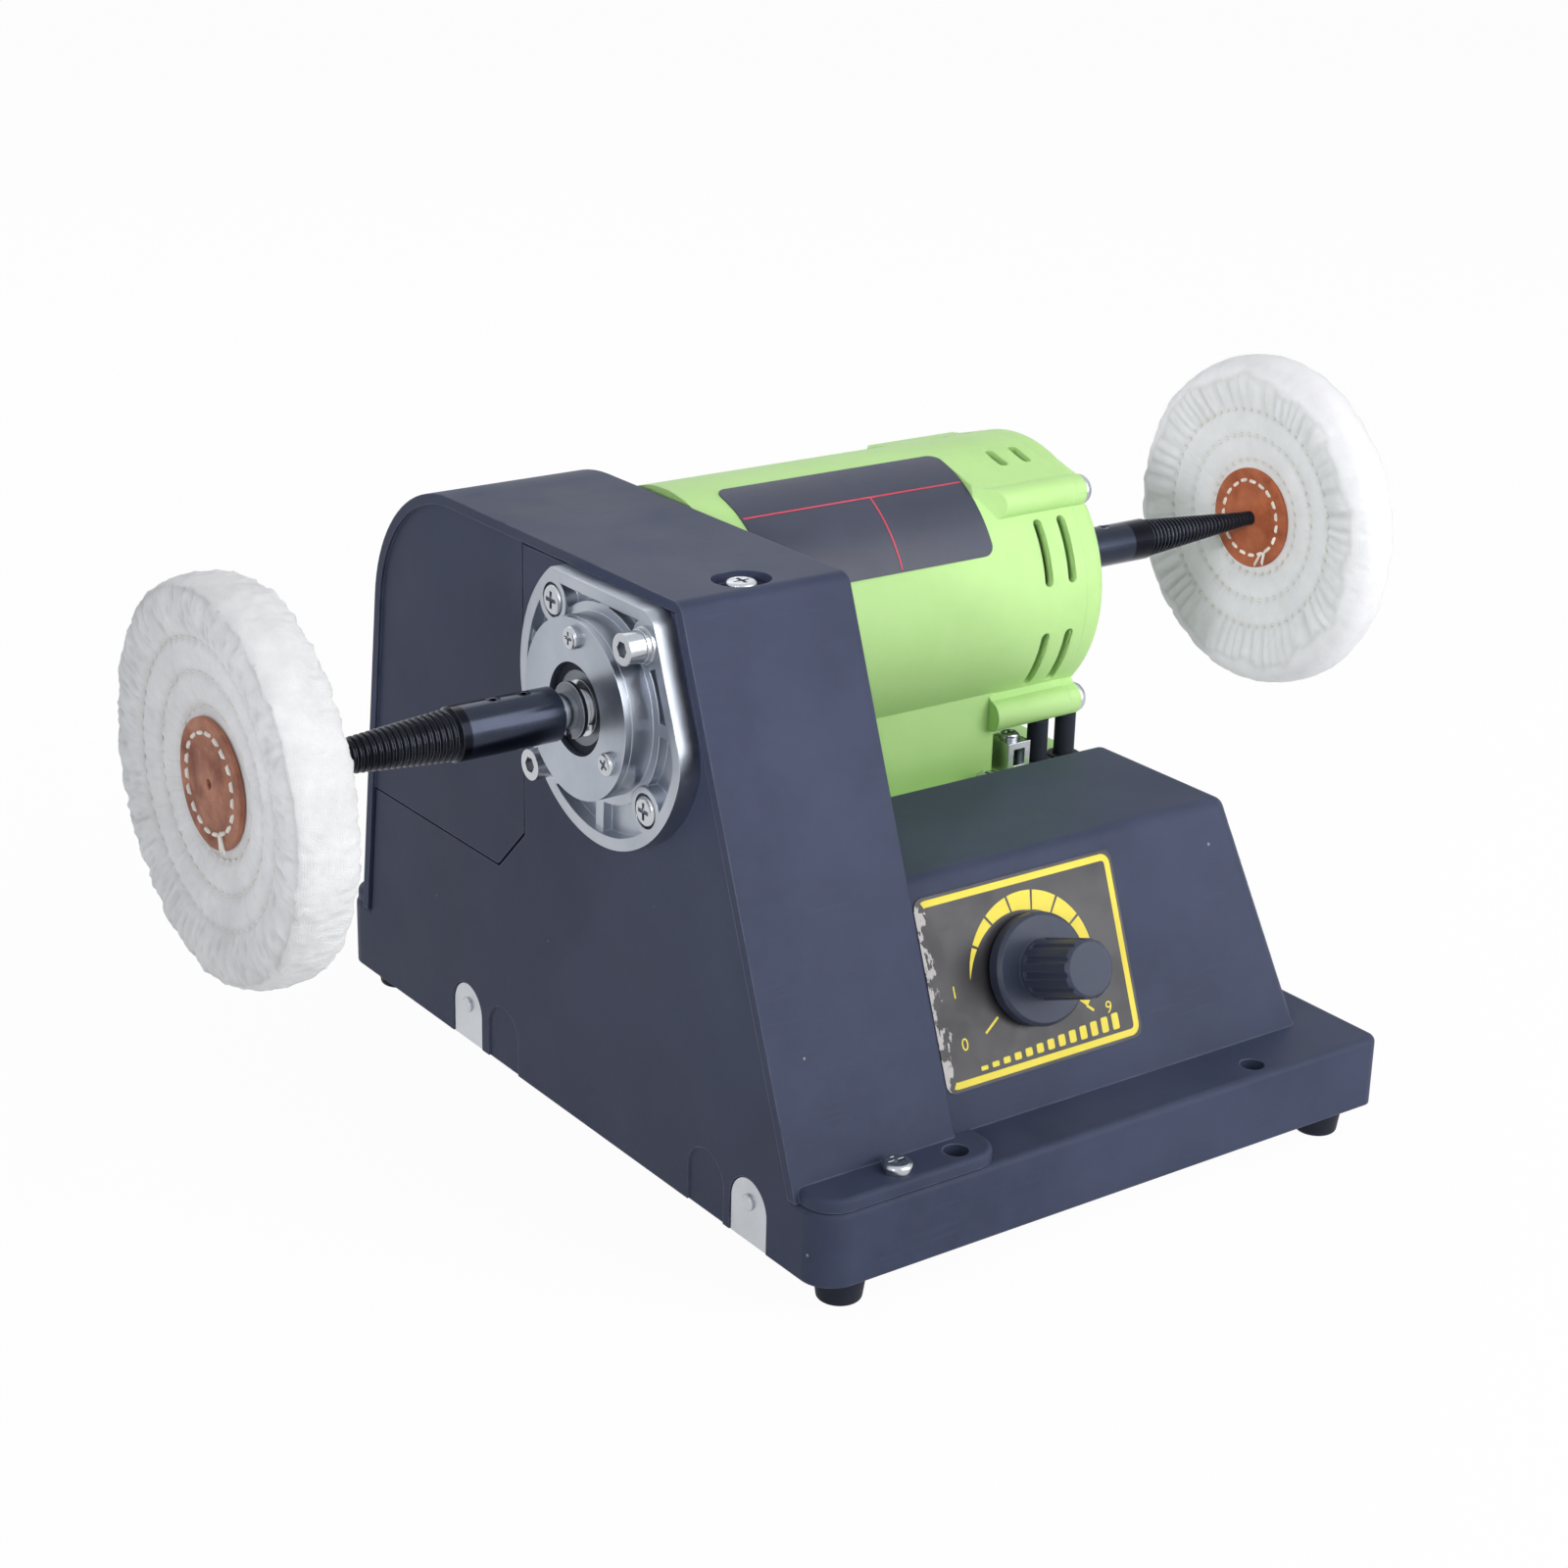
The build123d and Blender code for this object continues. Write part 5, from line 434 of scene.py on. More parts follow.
metalBase = {
    "dark": paint(176, 180, 186), "light": paint(200, 203, 208), "roughness": (0.24, 0.4), "metallic": 1.0,
    # edge is partly worn-bright metal, partly painted highlight
    "edge": paint(232, 234, 238), "edgeShare": 0.5, "edgeWidth": 0.4 * mm, "edgeGain": 4.0,
    "smearScale": 60.0, "grainSize": 0.5 * mm, "grainDepth": 0.012 * mm, "roundWidth": 0.25 * mm,
}
oxideBase = {
    **metalBase, "edgeWidth": 0.22 * mm, "roughness": (0.16, 0.27), "grainDepth": 0.006 * mm,
    "roundWidth": 0.12 * mm,
}
metals = {
    "dieCast": {
        **metalBase, "dark": paint(158, 164, 174), "light": paint(184, 189, 198), "roughness": (0.3, 0.46),
        "grainSize": 0.7 * mm, "grainDepth": 0.03 * mm, "roundWidth": 0.5 * mm},
    "retainerPlate": {
        **metalBase, "dark": paint(150, 157, 168), "light": paint(176, 182, 192), "roughness": (0.28, 0.4),
        "rings": outputLine, "ringPitch": 0.35 * mm, "ringShare": 0.35},
    "zincSteel": {**metalBase, "roughness": (0.2, 0.36)},
    "bearingSteel": {**metalBase, "roughness": (0.14, 0.24), "grainDepth": 0.004 * mm},
    "ringSteel": {
        **metalBase, "dark": paint(92, 95, 102), "light": paint(116, 120, 128), "roughness": (0.3, 0.42),
        "rings": outputLine, "ringPitch": 0.6 * mm, "ringShare": 0.5},
    "blackSteel": {
        **oxideBase, "dark": paint(48, 53, 68), "light": paint(62, 70, 88), "edge": paint(160, 166, 180)},
    "spindleSteel": {
        **oxideBase, "dark": paint(50, 54, 66), "light": paint(63, 68, 82), "edge": paint(150, 156, 168),
        "edgeShare": 0.4, "threads": paint(30, 31, 38), "threadsFrom": 138.5 * mm, "threadsFull": 139.0 * mm},
    "coreSteel": {
        **metalBase, "dark": paint(120, 122, 128), "light": paint(146, 148, 152), "roughness": (0.4, 0.55),
        "rings": motorLine, "ringPitch": 0.5 * mm, "ringShare": 0.8},
    "pulleyMetal": {**metalBase, "roughness": (0.26, 0.4)},
    "copper": {
        **metalBase, "dark": paint(176, 92, 46), "light": paint(206, 120, 66), "edge": paint(230, 160, 110),
        "roughness": (0.25, 0.4), "rings": motorLine, "ringPitch": 0.7 * mm, "ringShare": 1.2,
        "grainDepth": 0.04 * mm},
    "brushBrass": {
        **metalBase, "dark": paint(186, 152, 84), "light": paint(206, 174, 104),
        "edge": paint(232, 208, 150)},
}

cottonBase = {"pitch": 0.62 * mm, "roughness": 0.95, "specular": 0.15, "sheen": 0.2}
# fold is the colour of the painted shade that each wheel's mesh marks in foldShade
cloths = {
    "leftCotton": {
        **cottonBase, "depth": 0.2 * mm, "dark": paint(226, 226, 228), "light": paint(242, 242, 244),
        "fold": paint(156, 155, 156)},
    "rightCotton": {
        **cottonBase, "depth": 0.14 * mm, "dark": paint(230, 230, 233), "light": paint(240, 240, 244),
        "fold": paint(166, 164, 164)},
    "thread": {
        **cottonBase, "pitch": 0.35 * mm, "depth": 0.08 * mm, "dark": paint(228, 224, 214),
        "light": paint(244, 241, 234), "sheen": 0.15},
}

hideBase = {
    "grainSize": 0.8 * mm, "depth": 0.1 * mm, "roughness": (0.5, 0.68), "smearScale": 90.0,
    "smearShare": 0.35, "edgeWidth": 0.6 * mm, "edgeGain": 4.0, "edgeShare": 0.6,
}
hides = {
    "leftHide": {
        **hideBase, "light": paint(176, 112, 82), "dark": paint(118, 62, 42), "smear": paint(190, 142, 122),
        "edge": paint(92, 48, 36)},
    "rightHide": {
        **hideBase, "light": paint(186, 98, 54), "dark": paint(146, 66, 34), "smear": paint(184, 112, 78),
        "edge": paint(128, 70, 50)},
}

filmBase = {
    "grainSize": 0.5 * mm, "grainDepth": 0.01 * mm, "roughness": (0.34, 0.5), "smearScale": 60.0,
    "smearShare": 0.25,
}
films = {
    "labelFilm": {
        **filmBase, "dark": paint(24, 22, 27), "light": paint(32, 30, 36), "smear": paint(52, 50, 58),
        "backing": paint(176, 172, 172), "wornFrom": -33.9 * mm, "wornTo": -26.2 * mm, "tearScale": 330.0,
        "tearStretch": (1.0, 0.7, 0.45), "tearPull": 0.3, "tearLevels": (0.74, 0.77)},
    "plateFilm": {
        **filmBase, "dark": paint(42, 46, 64), "light": paint(50, 55, 75), "smear": paint(66, 72, 96)},
}

finishes = {}
for makeFinish, looks in (
        (plasticFinish, plastics), (metalFinish, metals), (clothFinish, cloths), (hideFinish, hides),
        (filmFinish, films)):
    for finishName, finishLook in looks.items():
        finishes[finishName] = makeFinish(finishName, finishLook)
print("finishes ready:", ", ".join(finishes))


def slotFinish(slotName):
    # a slot such as zinc_steel takes the finish zincSteel
    first, *rest = slotName.split("_")
    return first + "".join(word.title() for word in rest)


ownFinish = {
    "left_spindle": "spindleSteel", "right_spindle": "spindleSteel", "bearing_retainer": "retainerPlate",
    "bearing_outer_rings": "ringSteel", "output_bearing_inner_rings": "ringSteel", "circlip": "ringSteel",
    "control_label": "labelFilm", "rating_plate": "plateFilm",
}


def dress(piece, finishName):
    piece.data.materials.clear()
    piece.data.materials.append(finishes[finishName])


for part in frame["record"]["subparts"]:
    finishName = ownFinish.get(part["node"], slotFinish(part["material_slot"]))
    # cotton and leather nodes are replaced below, so any finish does for them
    dress(frame["nodes"][part["node"]], finishName if finishName in finishes else "innerPlastic")
print("finishes on the CAD nodes")


# small helpers for modelling
def deselect():
    bpy.ops.object.select_all(action="DESELECT")


def onlySelect(piece):
    deselect()
    piece.select_set(True)
    bpy.context.view_layer.objects.active = piece


def named(name):
    piece = bpy.context.active_object
    piece.name = name
    piece.data.name = name
    return piece


def settle(piece):
    # the place goes into the mesh, and the object stays at the origin
    onlySelect(piece)
    bpy.ops.object.transform_apply(location=True, rotation=True, scale=True)


def applyAll(piece):
    onlySelect(piece)
    for modifier in [m.name for m in piece.modifiers]:
        bpy.ops.object.modifier_apply(modifier=modifier)


def editAll():
    bpy.ops.object.mode_set(mode="EDIT")
    bpy.ops.mesh.select_all(action="SELECT")


def editDone():
    bpy.ops.object.mode_set(mode="OBJECT")


def selectFaces(piece, wanted):
    # in edit mode: the faces whose middle and normal pass the test
    bpy.ops.object.mode_set(mode="EDIT")
    bpy.ops.mesh.select_mode(type="FACE")
    bpy.ops.mesh.select_all(action="DESELECT")
    editDone()
    for face in piece.data.polygons:
        face.select = wanted(face.center, face.normal)
    bpy.ops.object.mode_set(mode="EDIT")


def endFaces(piece):
    selectFaces(piece, lambda place, normal: abs(normal.x) > 0.9)


def discAt(name, centre, radius, depth, sides):
    # a short cylinder whose axis runs along X
    deselect()
    bpy.ops.mesh.primitive_cylinder_add(
        vertices=sides, radius=radius * mm, depth=depth * mm, end_fill_type="NGON", location=centre,
        rotation=(0, math.pi / 2, 0))
    piece = named(name)
    settle(piece)
    return piece


def insetRings(outline, radii):
    # the selected ends get rings, and the last ring is bridged through as a bore
    last = outline
    for radius in radii:
        bpy.ops.mesh.inset(thickness=(last - radius) * mm, depth=0)
        last = radius
    bpy.ops.mesh.bridge_edge_loops()


def divideOnce(piece):
    divide = piece.modifiers.new("divide", "SUBSURF")
    divide.levels = divide.render_levels = 1


def roundFrom(place, centre):
    # a point's offset from a wheel's middle, its radius in mm and its angle
    off = place - centre
    return off, math.hypot(off.y, off.z) / mm, math.atan2(off.z, off.y)


def joined(name, copies):
    deselect()
    for copy in copies:
        copy.select_set(True)
    bpy.context.view_layer.objects.active = copies[0]
    bpy.ops.object.join()
    return named(name)


def copyOf(template, matrix):
    twin = template.copy()
    twin.data = template.data.copy()
    twin.data.transform(matrix)
    bpy.context.scene.collection.objects.link(twin)
    return twin


# cotton buff wheels, sizes in mm
wheelCommon = {
    "segments": 288, "stitchRings": (19.0, 27.5, 36.0), "ringHalf": (4.85, 5.95, 7.1), "stitchStep": 3.6,
    "hubEdge": 16.6, "hubHalf": 4.78, "bandRadii": (44.0, 70.0), "bandHalf": (8.6, 8.9),
    "insets": (
        48.6, 46.6, 44.4, 42.2, 40.0, 37.9, 36.0, 34.2, 32.1, 29.5, 27.5, 25.6, 23.2, 20.9, 19.0, 17.4, 15.2,
        11.5, 4.8),
    "insetOutline": 50, "looseFrom": 38, "rimCuts": (-6.6, -4.0, -1.35, 1.35, 4.0, 6.6),
    "heldWithin": 16.9, "heldBeside": 0.35, "rollWidth": 6.5, "foldRise": 2.5, "foldFade": 1.8,
    "pullWidth": 1.8, "ringDip": 0.12, "pitDip": 0.55, "pitWidth": 0.9,
    # where along the radius an effect starts, and how soon it is full
    "innerCrumple": (18, 6), "faceNap": (38, 6), "rimNap": (46, 3), "hang": (34, 18),
    "napFrom": 17.5, "napScales": (420, 900), "innerShare": 0.3, "faceNapShare": 0.4,
    "thread": (1.9, 0.5), "threadWander": 0.25, "threadSink": 0.02, "fill": 0.7,
}
# the values named Shade are painted shade: how far the cotton's colour darkens in pits, ring grooves, fold
# valleys, along the folds' edge and on the rim
leftWheel = {
    **wheelCommon, "name": "leftCottonBuff", "node": "left_buff_wheel", "body": "output_spindle",
    "cotton": "leftCotton",
    "outline": 49.2, "rimHalf": 9.3, "roll": 0.8, "hold": 0.8, "lumps": 0.34, "sag": 0.9,
    "pleats": 44, "pleatRise": 0.25, "pleatSwing": 0.12, "pleatStart": 36.4, "pleatEnd": 49.6, "ragged": 0.5,
    "crumple": 0.7, "fuzz": 0.55, "pleatShade": 0.1, "crumpleShade": 0.4, "ringShade": 0.22, "pitShade": 0.1,
    "edgeShade": 0.3, "rimShade": 0.1, "seed": 11,
}
rightWheel = {
    **wheelCommon, "name": "rightCottonBuff", "node": "right_buff_wheel", "body": "motor_rotor",
    "cotton": "rightCotton",
    "outline": 52.2, "rimHalf": 9.2, "roll": 2.6, "hold": 0.0, "lumps": 0.3, "sag": 2.4,
    "pleats": 58, "pleatRise": 0.95, "pleatSwing": 0.3, "pleatStart": 35.5, "pleatEnd": 47.6, "ragged": 1.7,
    "crumple": 0.3, "fuzz": 0.14, "pleatShade": 0.24, "crumpleShade": 0.15, "ringShade": 0.1, "pitShade": 0.6,
    "edgeShade": 0.22, "rimShade": 0.2, "seed": 23,
}
# worked ten times larger than life, because cloth settles better so
puffLook = {"grow": 10, "steps": 20, "most": 1.6}
puffCloth = {
    "quality": 5, "mass": 0.25, "tension_stiffness": 6, "compression_stiffness": 6, "shear_stiffness": 2,
    "bending_stiffness": 0.08, "use_pressure": True, "uniform_pressure_force": 5,
    "shrink_min": -0.03,  # a little spare cloth, so that it gathers
    "vertex_group_mass": "held",
}


def faceHalf(radius, look):
    # half the cloth's thickness at a radius, before it swells
    rings = (0.0, look["hubEdge"], *look["stitchRings"], *look["bandRadii"])
    halves = (look["hubHalf"], look["hubHalf"], *look["ringHalf"], *look["bandHalf"])
    for start, end, low, high in zip(rings, rings[1:], halves, halves[1:]):
        if radius <= end:
            return low + (high - low) * (radius - start) / (end - start)
    return halves[-1]


def wheelBlank(look):
    # a short cylinder on the spindle's line, its ends inset to rings and its rim cut to bands
    centre = midBox(look["node"])
    wheel = discAt(look["name"], centre, look["outline"], 2 * look["rimHalf"], look["segments"])
    endFaces(wheel)
    radii = []
    for radius in look["insets"]:
        loose = radius > look["looseFrom"]
        radii.append(radius * look["outline"] / look["insetOutline"] if loose else radius)
    insetRings(look["outline"], radii)
    for cut in look["rimCuts"]:
        bpy.ops.mesh.select_all(action="SELECT")
        bpy.ops.mesh.bisect(plane_co=(centre.x + cut * mm, 0, 0), plane_no=(1, 0, 0))
    editDone()
    return wheel, centre


def sideWave(side, look):
    return look["wave"] if side > 0 else look["wave"][::-1]


def pleatWave(angle, side, look):
    # folds of uneven width: the angle itself is bent before the wave is taken
    wave = sideWave(side, look)
    bent = angle + 0.05 * math.sin(5 * angle + wave[0]) + 0.032 * math.sin(11 * angle + wave[1])
    height = 0.72 + 0.28 * math.sin(7 * angle + wave[2])
    return height * math.sin(look["pleats"] * bent + wave[3])


def pleatReach(radius, angle, side, look):
    # how much the folds show: from the last sewn ring to a ragged edge short of the rim
    wave = sideWave(side, look)
    rag = math.sin(9 * angle + wave[2]) + 0.6 * math.sin(23 * angle + wave[4])
    end = look["pleatEnd"] + look["ragged"] * rag / 1.6
    fall = ramp(radius, end - look["foldFade"], look["foldFade"])
    return ramp(radius, look["pleatStart"], look["foldRise"]) * (1 - fall), end


def crumpleAt(radius, angle, side, look):
    # loose fibres that run more along the radius than round it
    spot = Vector((27 * math.cos(angle), 27 * math.sin(angle), 0.24 * radius + 9 * side + look["seed"]))
    return noise.noise(spot) + 0.5 * noise.noise(spot * 2.1)


def shapeBlank(wheel, centre, look):
    look["wave"] = wave = [random.uniform(0, 6.28) for _ in range(6)]
    held = wheel.vertex_groups.new(name="held")
    for vertex in wheel.data.vertices:
        off, radius, angle = roundFrom(vertex.co, centre)
        onFace = abs(off.x) > (look["rimHalf"] - 0.05) * mm
        shoulder = onFace and radius > look["outline"] - 0.1
        side = math.copysign(1, off.x)
        half = off.x / mm
        fold = pleatWave(angle, side, look)
        if onFace:
            half = side * min(faceHalf(radius, look), look["rimHalf"])
            half += side * look["pleatRise"] * fold * pleatReach(radius, angle, side, look)[0]
            # the cloth rolls over beyond its folds
            rolled = ramp(radius, look["outline"] - look["rollWidth"], look["rollWidth"])
            half -= side * look["roll"] * rolled ** 2
        elif radius > look["looseFrom"]:
            half *= (look["rimHalf"] - look["roll"]) / look["rimHalf"]
        if shoulder:
            half *= 1 + 0.03 * math.sin(13 * angle + wave[0]) + 0.02 * math.sin(31 * angle + wave[1])
        reach = ramp(radius, look["pleatStart"], look["outline"] - look["pleatStart"])
        lump = math.sin(6 * angle + wave[4]) + 0.7 * math.sin(9 * angle + wave[5])
        grow = 0.35 * fold * look["pleatSwing"] * reach * (abs(half) / look["rimHalf"]) ** 2
        grow += look["lumps"] * reach * lump / 1.7
        radius += grow
        vertex.co = centre + Vector((half * mm, radius * mm * math.cos(angle), radius * mm * math.sin(angle)))
        nearRing = min(abs(radius - ring) for ring in look["stitchRings"])
        if radius < look["heldWithin"] or nearRing < look["heldBeside"]:
            held.add([vertex.index], 1.0, "REPLACE")
        elif shoulder and look["hold"] > 0:
            held.add([vertex.index], look["hold"], "REPLACE")


def puffWheel(wheel, centre):
    # cotton swells between its sewn rings
    bigger = Matrix.Scale(puffLook["grow"], 4)
    grown = Matrix.Translation(centre) @ bigger @ Matrix.Translation(-centre)
    wheel.data.transform(grown)
    before = [vertex.co.copy() for vertex in wheel.data.vertices]
    modifier = wheel.modifiers.new("puff", "CLOTH")
    for setting, value in puffCloth.items():
        setattr(modifier.settings, setting, value)
    modifier.settings.effector_weights.gravity = 0
    modifier.point_cache.frame_start, modifier.point_cache.frame_end = 1, puffLook["steps"]
    for step in range(puffLook["steps"]):
        bpy.context.scene.frame_set(step + 1)
    applyAll(wheel)
    bpy.context.scene.frame_set(1)
    most = puffLook["most"] * puffLook["grow"] * mm
    for vertex, start in zip(wheel.data.vertices, before):
        move = vertex.co - start
        if move.length > most:
            vertex.co = start + move * (most / move.length)
    wheel.data.transform(grown.inverted())


def ringStitches(ring, look):
    return round(2 * math.pi * ring / look["stitchStep"])


def pullStitches(vertex, radius, angle, side, look):
    # stitches pull small pits along each ring; gives the painted shade of the pits and of the ring's groove
    shade = 0
    for ring in look["stitchRings"]:
        away = abs(radius - ring)
        if away < look["pullWidth"]:
            beat = 0.5 + 0.5 * math.cos(ringStitches(ring, look) * angle)
            pull = (1 - away / look["pullWidth"]) ** 1.5
            vertex.co.x -= side * mm * pull * (look["ringDip"] + look["pitDip"] * beat ** 2)
            pit = beat ** 3 * max(0, 1 - away / look["pitWidth"])
            shade += look["ringShade"] * pull + look["pitShade"] * pit
    return shade


def crumpleFace(vertex, radius, angle, side, look):
    # the outer band is crumpled between its folds; gives the painted shade of both, and a painted shade line
    # along the folds' ragged edge
    band, end = pleatReach(radius, angle, side, look)
    crumple = crumpleAt(radius, angle, side, look)
    shown = max(band, look["innerShare"] * ramp(radius, *look["innerCrumple"]))
    vertex.co.x += side * look["crumple"] * crumple * mm * shown
    shade = look["pleatShade"] * band * max(0, -pleatWave(angle, side, look))
    shade += look["crumpleShade"] * shown * max(0, -crumple)
    return shade + look["edgeShade"] * math.exp(-((radius - end + 0.6) / 0.8) ** 2)


def napAndSag(vertex, radius, angle, side, look):
    # the rim is napped, in coarse and fine tufts
    coarse, fine = look["napScales"]
    nap = noise.noise(vertex.co * coarse + Vector((look["seed"], 0, 0)))
    nap += 0.6 * noise.noise(vertex.co * fine + Vector((0, look["seed"], 0)))
    outward = Vector((0, math.cos(angle), math.sin(angle)))
    vertex.co += outward * nap * look["fuzz"] * ramp(radius, *look["rimNap"]) * mm
    vertex.co.x += side * nap * look["fuzz"] * look["faceNapShare"] * mm * ramp(radius, *look["faceNap"])
    # worn cloth hangs a little, most at its foot
    low = 0.35 + 0.65 * (0.5 - 0.5 * math.sin(angle))
    vertex.co.z -= look["sag"] * low * ramp(radius, *look["hang"]) * mm


def finishWheel(wheel, centre, look):
    divideOnce(wheel)
    applyAll(wheel)
    shades = []
    for vertex in wheel.data.vertices:
        off, radius, angle = roundFrom(vertex.co, centre)
        side = math.copysign(1, off.x)
        onFace = abs(off.x) > 3.5 * mm and radius < look["outline"] - 0.4
        # painted shade, darkening the rim's colour
        shade = look["rimShade"] * ramp(radius, look["outline"] - 3.5, 3)
        if onFace:
            shade += pullStitches(vertex, radius, angle, side, look)
        if radius > look["napFrom"]:
            napAndSag(vertex, radius, angle, side, look)
            if onFace:
                shade += crumpleFace(vertex, radius, angle, side, look)
        shades.append(min(shade, 1.0))
    mark = wheel.data.attributes.new("foldShade", "FLOAT", "POINT")
    mark.data.foreach_set("value", shades)
    wheel.vertex_groups.clear()
    onlySelect(wheel)
    bpy.ops.object.shade_smooth()


def makeWheel(look):
    random.seed(look["seed"])
    wheel, centre = wheelBlank(look)
    shapeBlank(wheel, centre, look)
    puffWheel(wheel, centre)
    finishWheel(wheel, centre, look)
    dress(wheel, look["cotton"])
    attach(wheel, look["body"])
    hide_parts(look["node"])
    print(look["name"], "has", len(wheel.data.polygons), "faces")
    return centre


leftCentre = makeWheel(leftWheel)
rightCentre = makeWheel(rightWheel)


# leather washers sewn to the wheels' hubs, sizes in mm
hubCommon = {
    "radius": 16.5, "thick": 1.6, "sides": 96, "gap": 0.1, "tipBore": 1.2, "rounding": 0.45,
    "edgeRing": 0.5, "outerRing": 14.0, "seamHalf": 0.9, "innerRing": 8.0, "boreRing": 0.8,
    "seamDip": 0.32, "crown": 0.22, "warp": 0.1, "dashes": 19, "bold": (2.9, 1.15), "loose": (5.4, 0.95),
    "wander": 0.7, "seamSink": 0.12, "tailLift": 0.28, "tailOut": 1.7,
}
leftHub = {
    **hubCommon, "name": "leftHub", "node": "left_hub_leathers", "body": "output_spindle", "hide": "leftHide",
    "tipSide": -1, "seamRadius": 12.6, "tailAngle": -116, "tails": ((0, 0), (4, 14)), "seed": 5,
}
rightHub = {
    **hubCommon, "name": "rightHub", "node": "right_hub_leathers", "body": "motor_rotor", "hide": "rightHide",
    "tipSide": 1, "seamRadius": 12.4, "tailAngle": -124, "tails": ((0, 42), (12, 50)), "seed": 6,
}


def makeWasher(look, centre, side, bore):
    # a disc with a hole, dished along its seam and rounded at its edges
    middle = centre + Vector((side * (wheelCommon["hubHalf"] + look["gap"] + look["thick"] / 2) * mm, 0, 0))
    name = look["name"] + ("OuterLeather" if side == look["tipSide"] else "InnerLeather")
    washer = discAt(name, middle, look["radius"], look["thick"], look["sides"])
    endFaces(washer)
    seam, half = look["seamRadius"], look["seamHalf"]
    insetRings(look["radius"], (
        look["radius"] - look["edgeRing"], look["outerRing"], seam + half, seam - half, look["innerRing"],
        bore + look["boreRing"], bore))
    editDone()
    for vertex in washer.data.vertices:
        off, radius, angle = roundFrom(vertex.co, middle)
        share = radius / look["radius"]
        dip = -look["seamDip"] if abs(radius - seam) < half + 0.1 else 0.0
        dip += look["crown"] * (1 - share) + look["warp"] * math.sin(3 * angle + look["seed"]) * share
        if math.copysign(1, off.x) == side:
            vertex.co.x += side * dip * mm
    rounding = washer.modifiers.new("rounding", "BEVEL")
    rounding.width, rounding.segments = look["rounding"] * mm, 3
    rounding.limit_method, rounding.angle_limit = "ANGLE", math.radians(50)
    divideOnce(washer)
    applyAll(washer)
    editAll()
    bpy.ops.mesh.normals_make_consistent(inside=False)
    editDone()
    bpy.ops.object.shade_smooth_by_angle(angle=math.radians(45))
    dress(washer, look["hide"])
    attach(washer, look["body"])
    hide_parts(look["node"])
    return middle.x + side * look["thick"] / 2 * mm


def threadDash(length, thickness):
    # one stitch, along Y, lying in the YZ plane: a six-sided rod drawn in at both ends
    deselect()
    bpy.ops.mesh.primitive_cylinder_add(
        vertices=6, radius=thickness / 2 * mm, depth=length * 0.6 * mm, end_fill_type="NGON",
        rotation=(math.pi / 2, 0, 0))
    dash = named("stitch")
    settle(dash)
    selectFaces(dash, lambda place, normal: abs(normal.y) > 0.9)
    bpy.ops.mesh.extrude_region_shrink_fatten(TRANSFORM_OT_shrink_fatten={"value": length * 0.2 * mm})
    editDone()
    for vertex in dash.data.vertices:
        if abs(vertex.co.y) > length * 0.35 * mm:
            vertex.co.x = vertex.co.x * 0.45 - 0.3 * thickness * mm
            vertex.co.z *= 0.5
    onlySelect(dash)
    bpy.ops.object.shade_smooth_by_angle(angle=math.radians(70))
    return dash


def facing(side):
    # turns a dash's drawn ends down into the piece
    return Matrix.Rotation(0 if side > 0 else math.pi, 4, "Z")


def sewRing(dash, centre, x, side, radius, count, wander):
    # stitches round a ring, each a little astray
    copies = []
    for step in range(count):
        angle = 2 * math.pi * step / count + random.uniform(-0.25, 0.25) * wander / radius
        away = radius + random.uniform(-0.35, 0.35) * wander
        tilt = random.uniform(-0.12, 0.12) * wander
        place = Matrix.Translation((x, centre.y, centre.z)) @ Matrix.Rotation(angle, 4, "X")
        place = place @ Matrix.Translation((0, 0, away * mm)) @ Matrix.Rotation(tilt, 4, "X")
        copies.append(copyOf(dash, place @ facing(side)))
    return copies


def layThread(name, copies, body):
    thread = joined(name, copies)
    dress(thread, "thread")
    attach(thread, body)


def makeHub(look, centre):
    random.seed(look["seed"])
    tip = look["tipSide"]
    # the inner washer's hole is as wide as the CAD washer's on that side
    node = frame["nodes"][look["node"]]
    places = [roundFrom(node.matrix_world @ vertex.co, centre) for vertex in node.data.vertices]
    bore = min(radius for off, radius, angle in places if off.x * tip < 0)
    outerX = makeWasher(look, centre, tip, look["tipBore"])
    innerX = makeWasher(look, centre, -tip, max(bore, look["tipBore"]))
    bold = threadDash(*look["bold"])
    loose = threadDash(*look["loose"])
    copies = []
    for x, side in ((outerX, tip), (innerX, -tip)):
        seamX = x - side * look["seamSink"] * mm
        copies += sewRing(bold, centre, seamX, side, look["seamRadius"], look["dashes"], look["wander"])
        # the loose ends run from the seam to the washer's edge
        tailX = x + side * look["tailLift"] * mm
        for along, oblique in look["tails"]:
            turn = Matrix.Rotation(math.radians(look["tailAngle"] + along), 4, "X")
            out = Matrix.Translation((0, (look["seamRadius"] + look["tailOut"]) * mm, 0))
            lean = Matrix.Rotation(math.radians(oblique), 4, "X")
            place = Matrix.Translation((tailX, centre.y, centre.z)) @ turn @ out @ lean
            copies.append(copyOf(loose, place @ facing(side)))
    bpy.data.objects.remove(loose)
    bpy.data.objects.remove(bold)
    layThread(look["name"] + "Seam", copies, look["body"])


def sewWheel(look, centre):
    # white thread along the rings of each face
    random.seed(look["seed"] + 100)
    fine = threadDash(*look["thread"])
    copies = []
    for ring, half in zip(look["stitchRings"], look["ringHalf"]):
        for side in (-1, 1):
            x = centre.x + side * (half - look["threadSink"]) * mm
            copies += sewRing(fine, centre, x, side, ring, ringStitches(ring, look), look["threadWander"])
    bpy.data.objects.remove(fine)
    layThread(look["name"] + "Stitching", copies, look["body"])


for hub, wheelLook, wheelCentre in ((leftHub, leftWheel, leftCentre), (rightHub, rightWheel, rightCentre)):
    makeHub(hub, wheelCentre)
    sewWheel(wheelLook, wheelCentre)
print("wheels, leathers and stitching made")


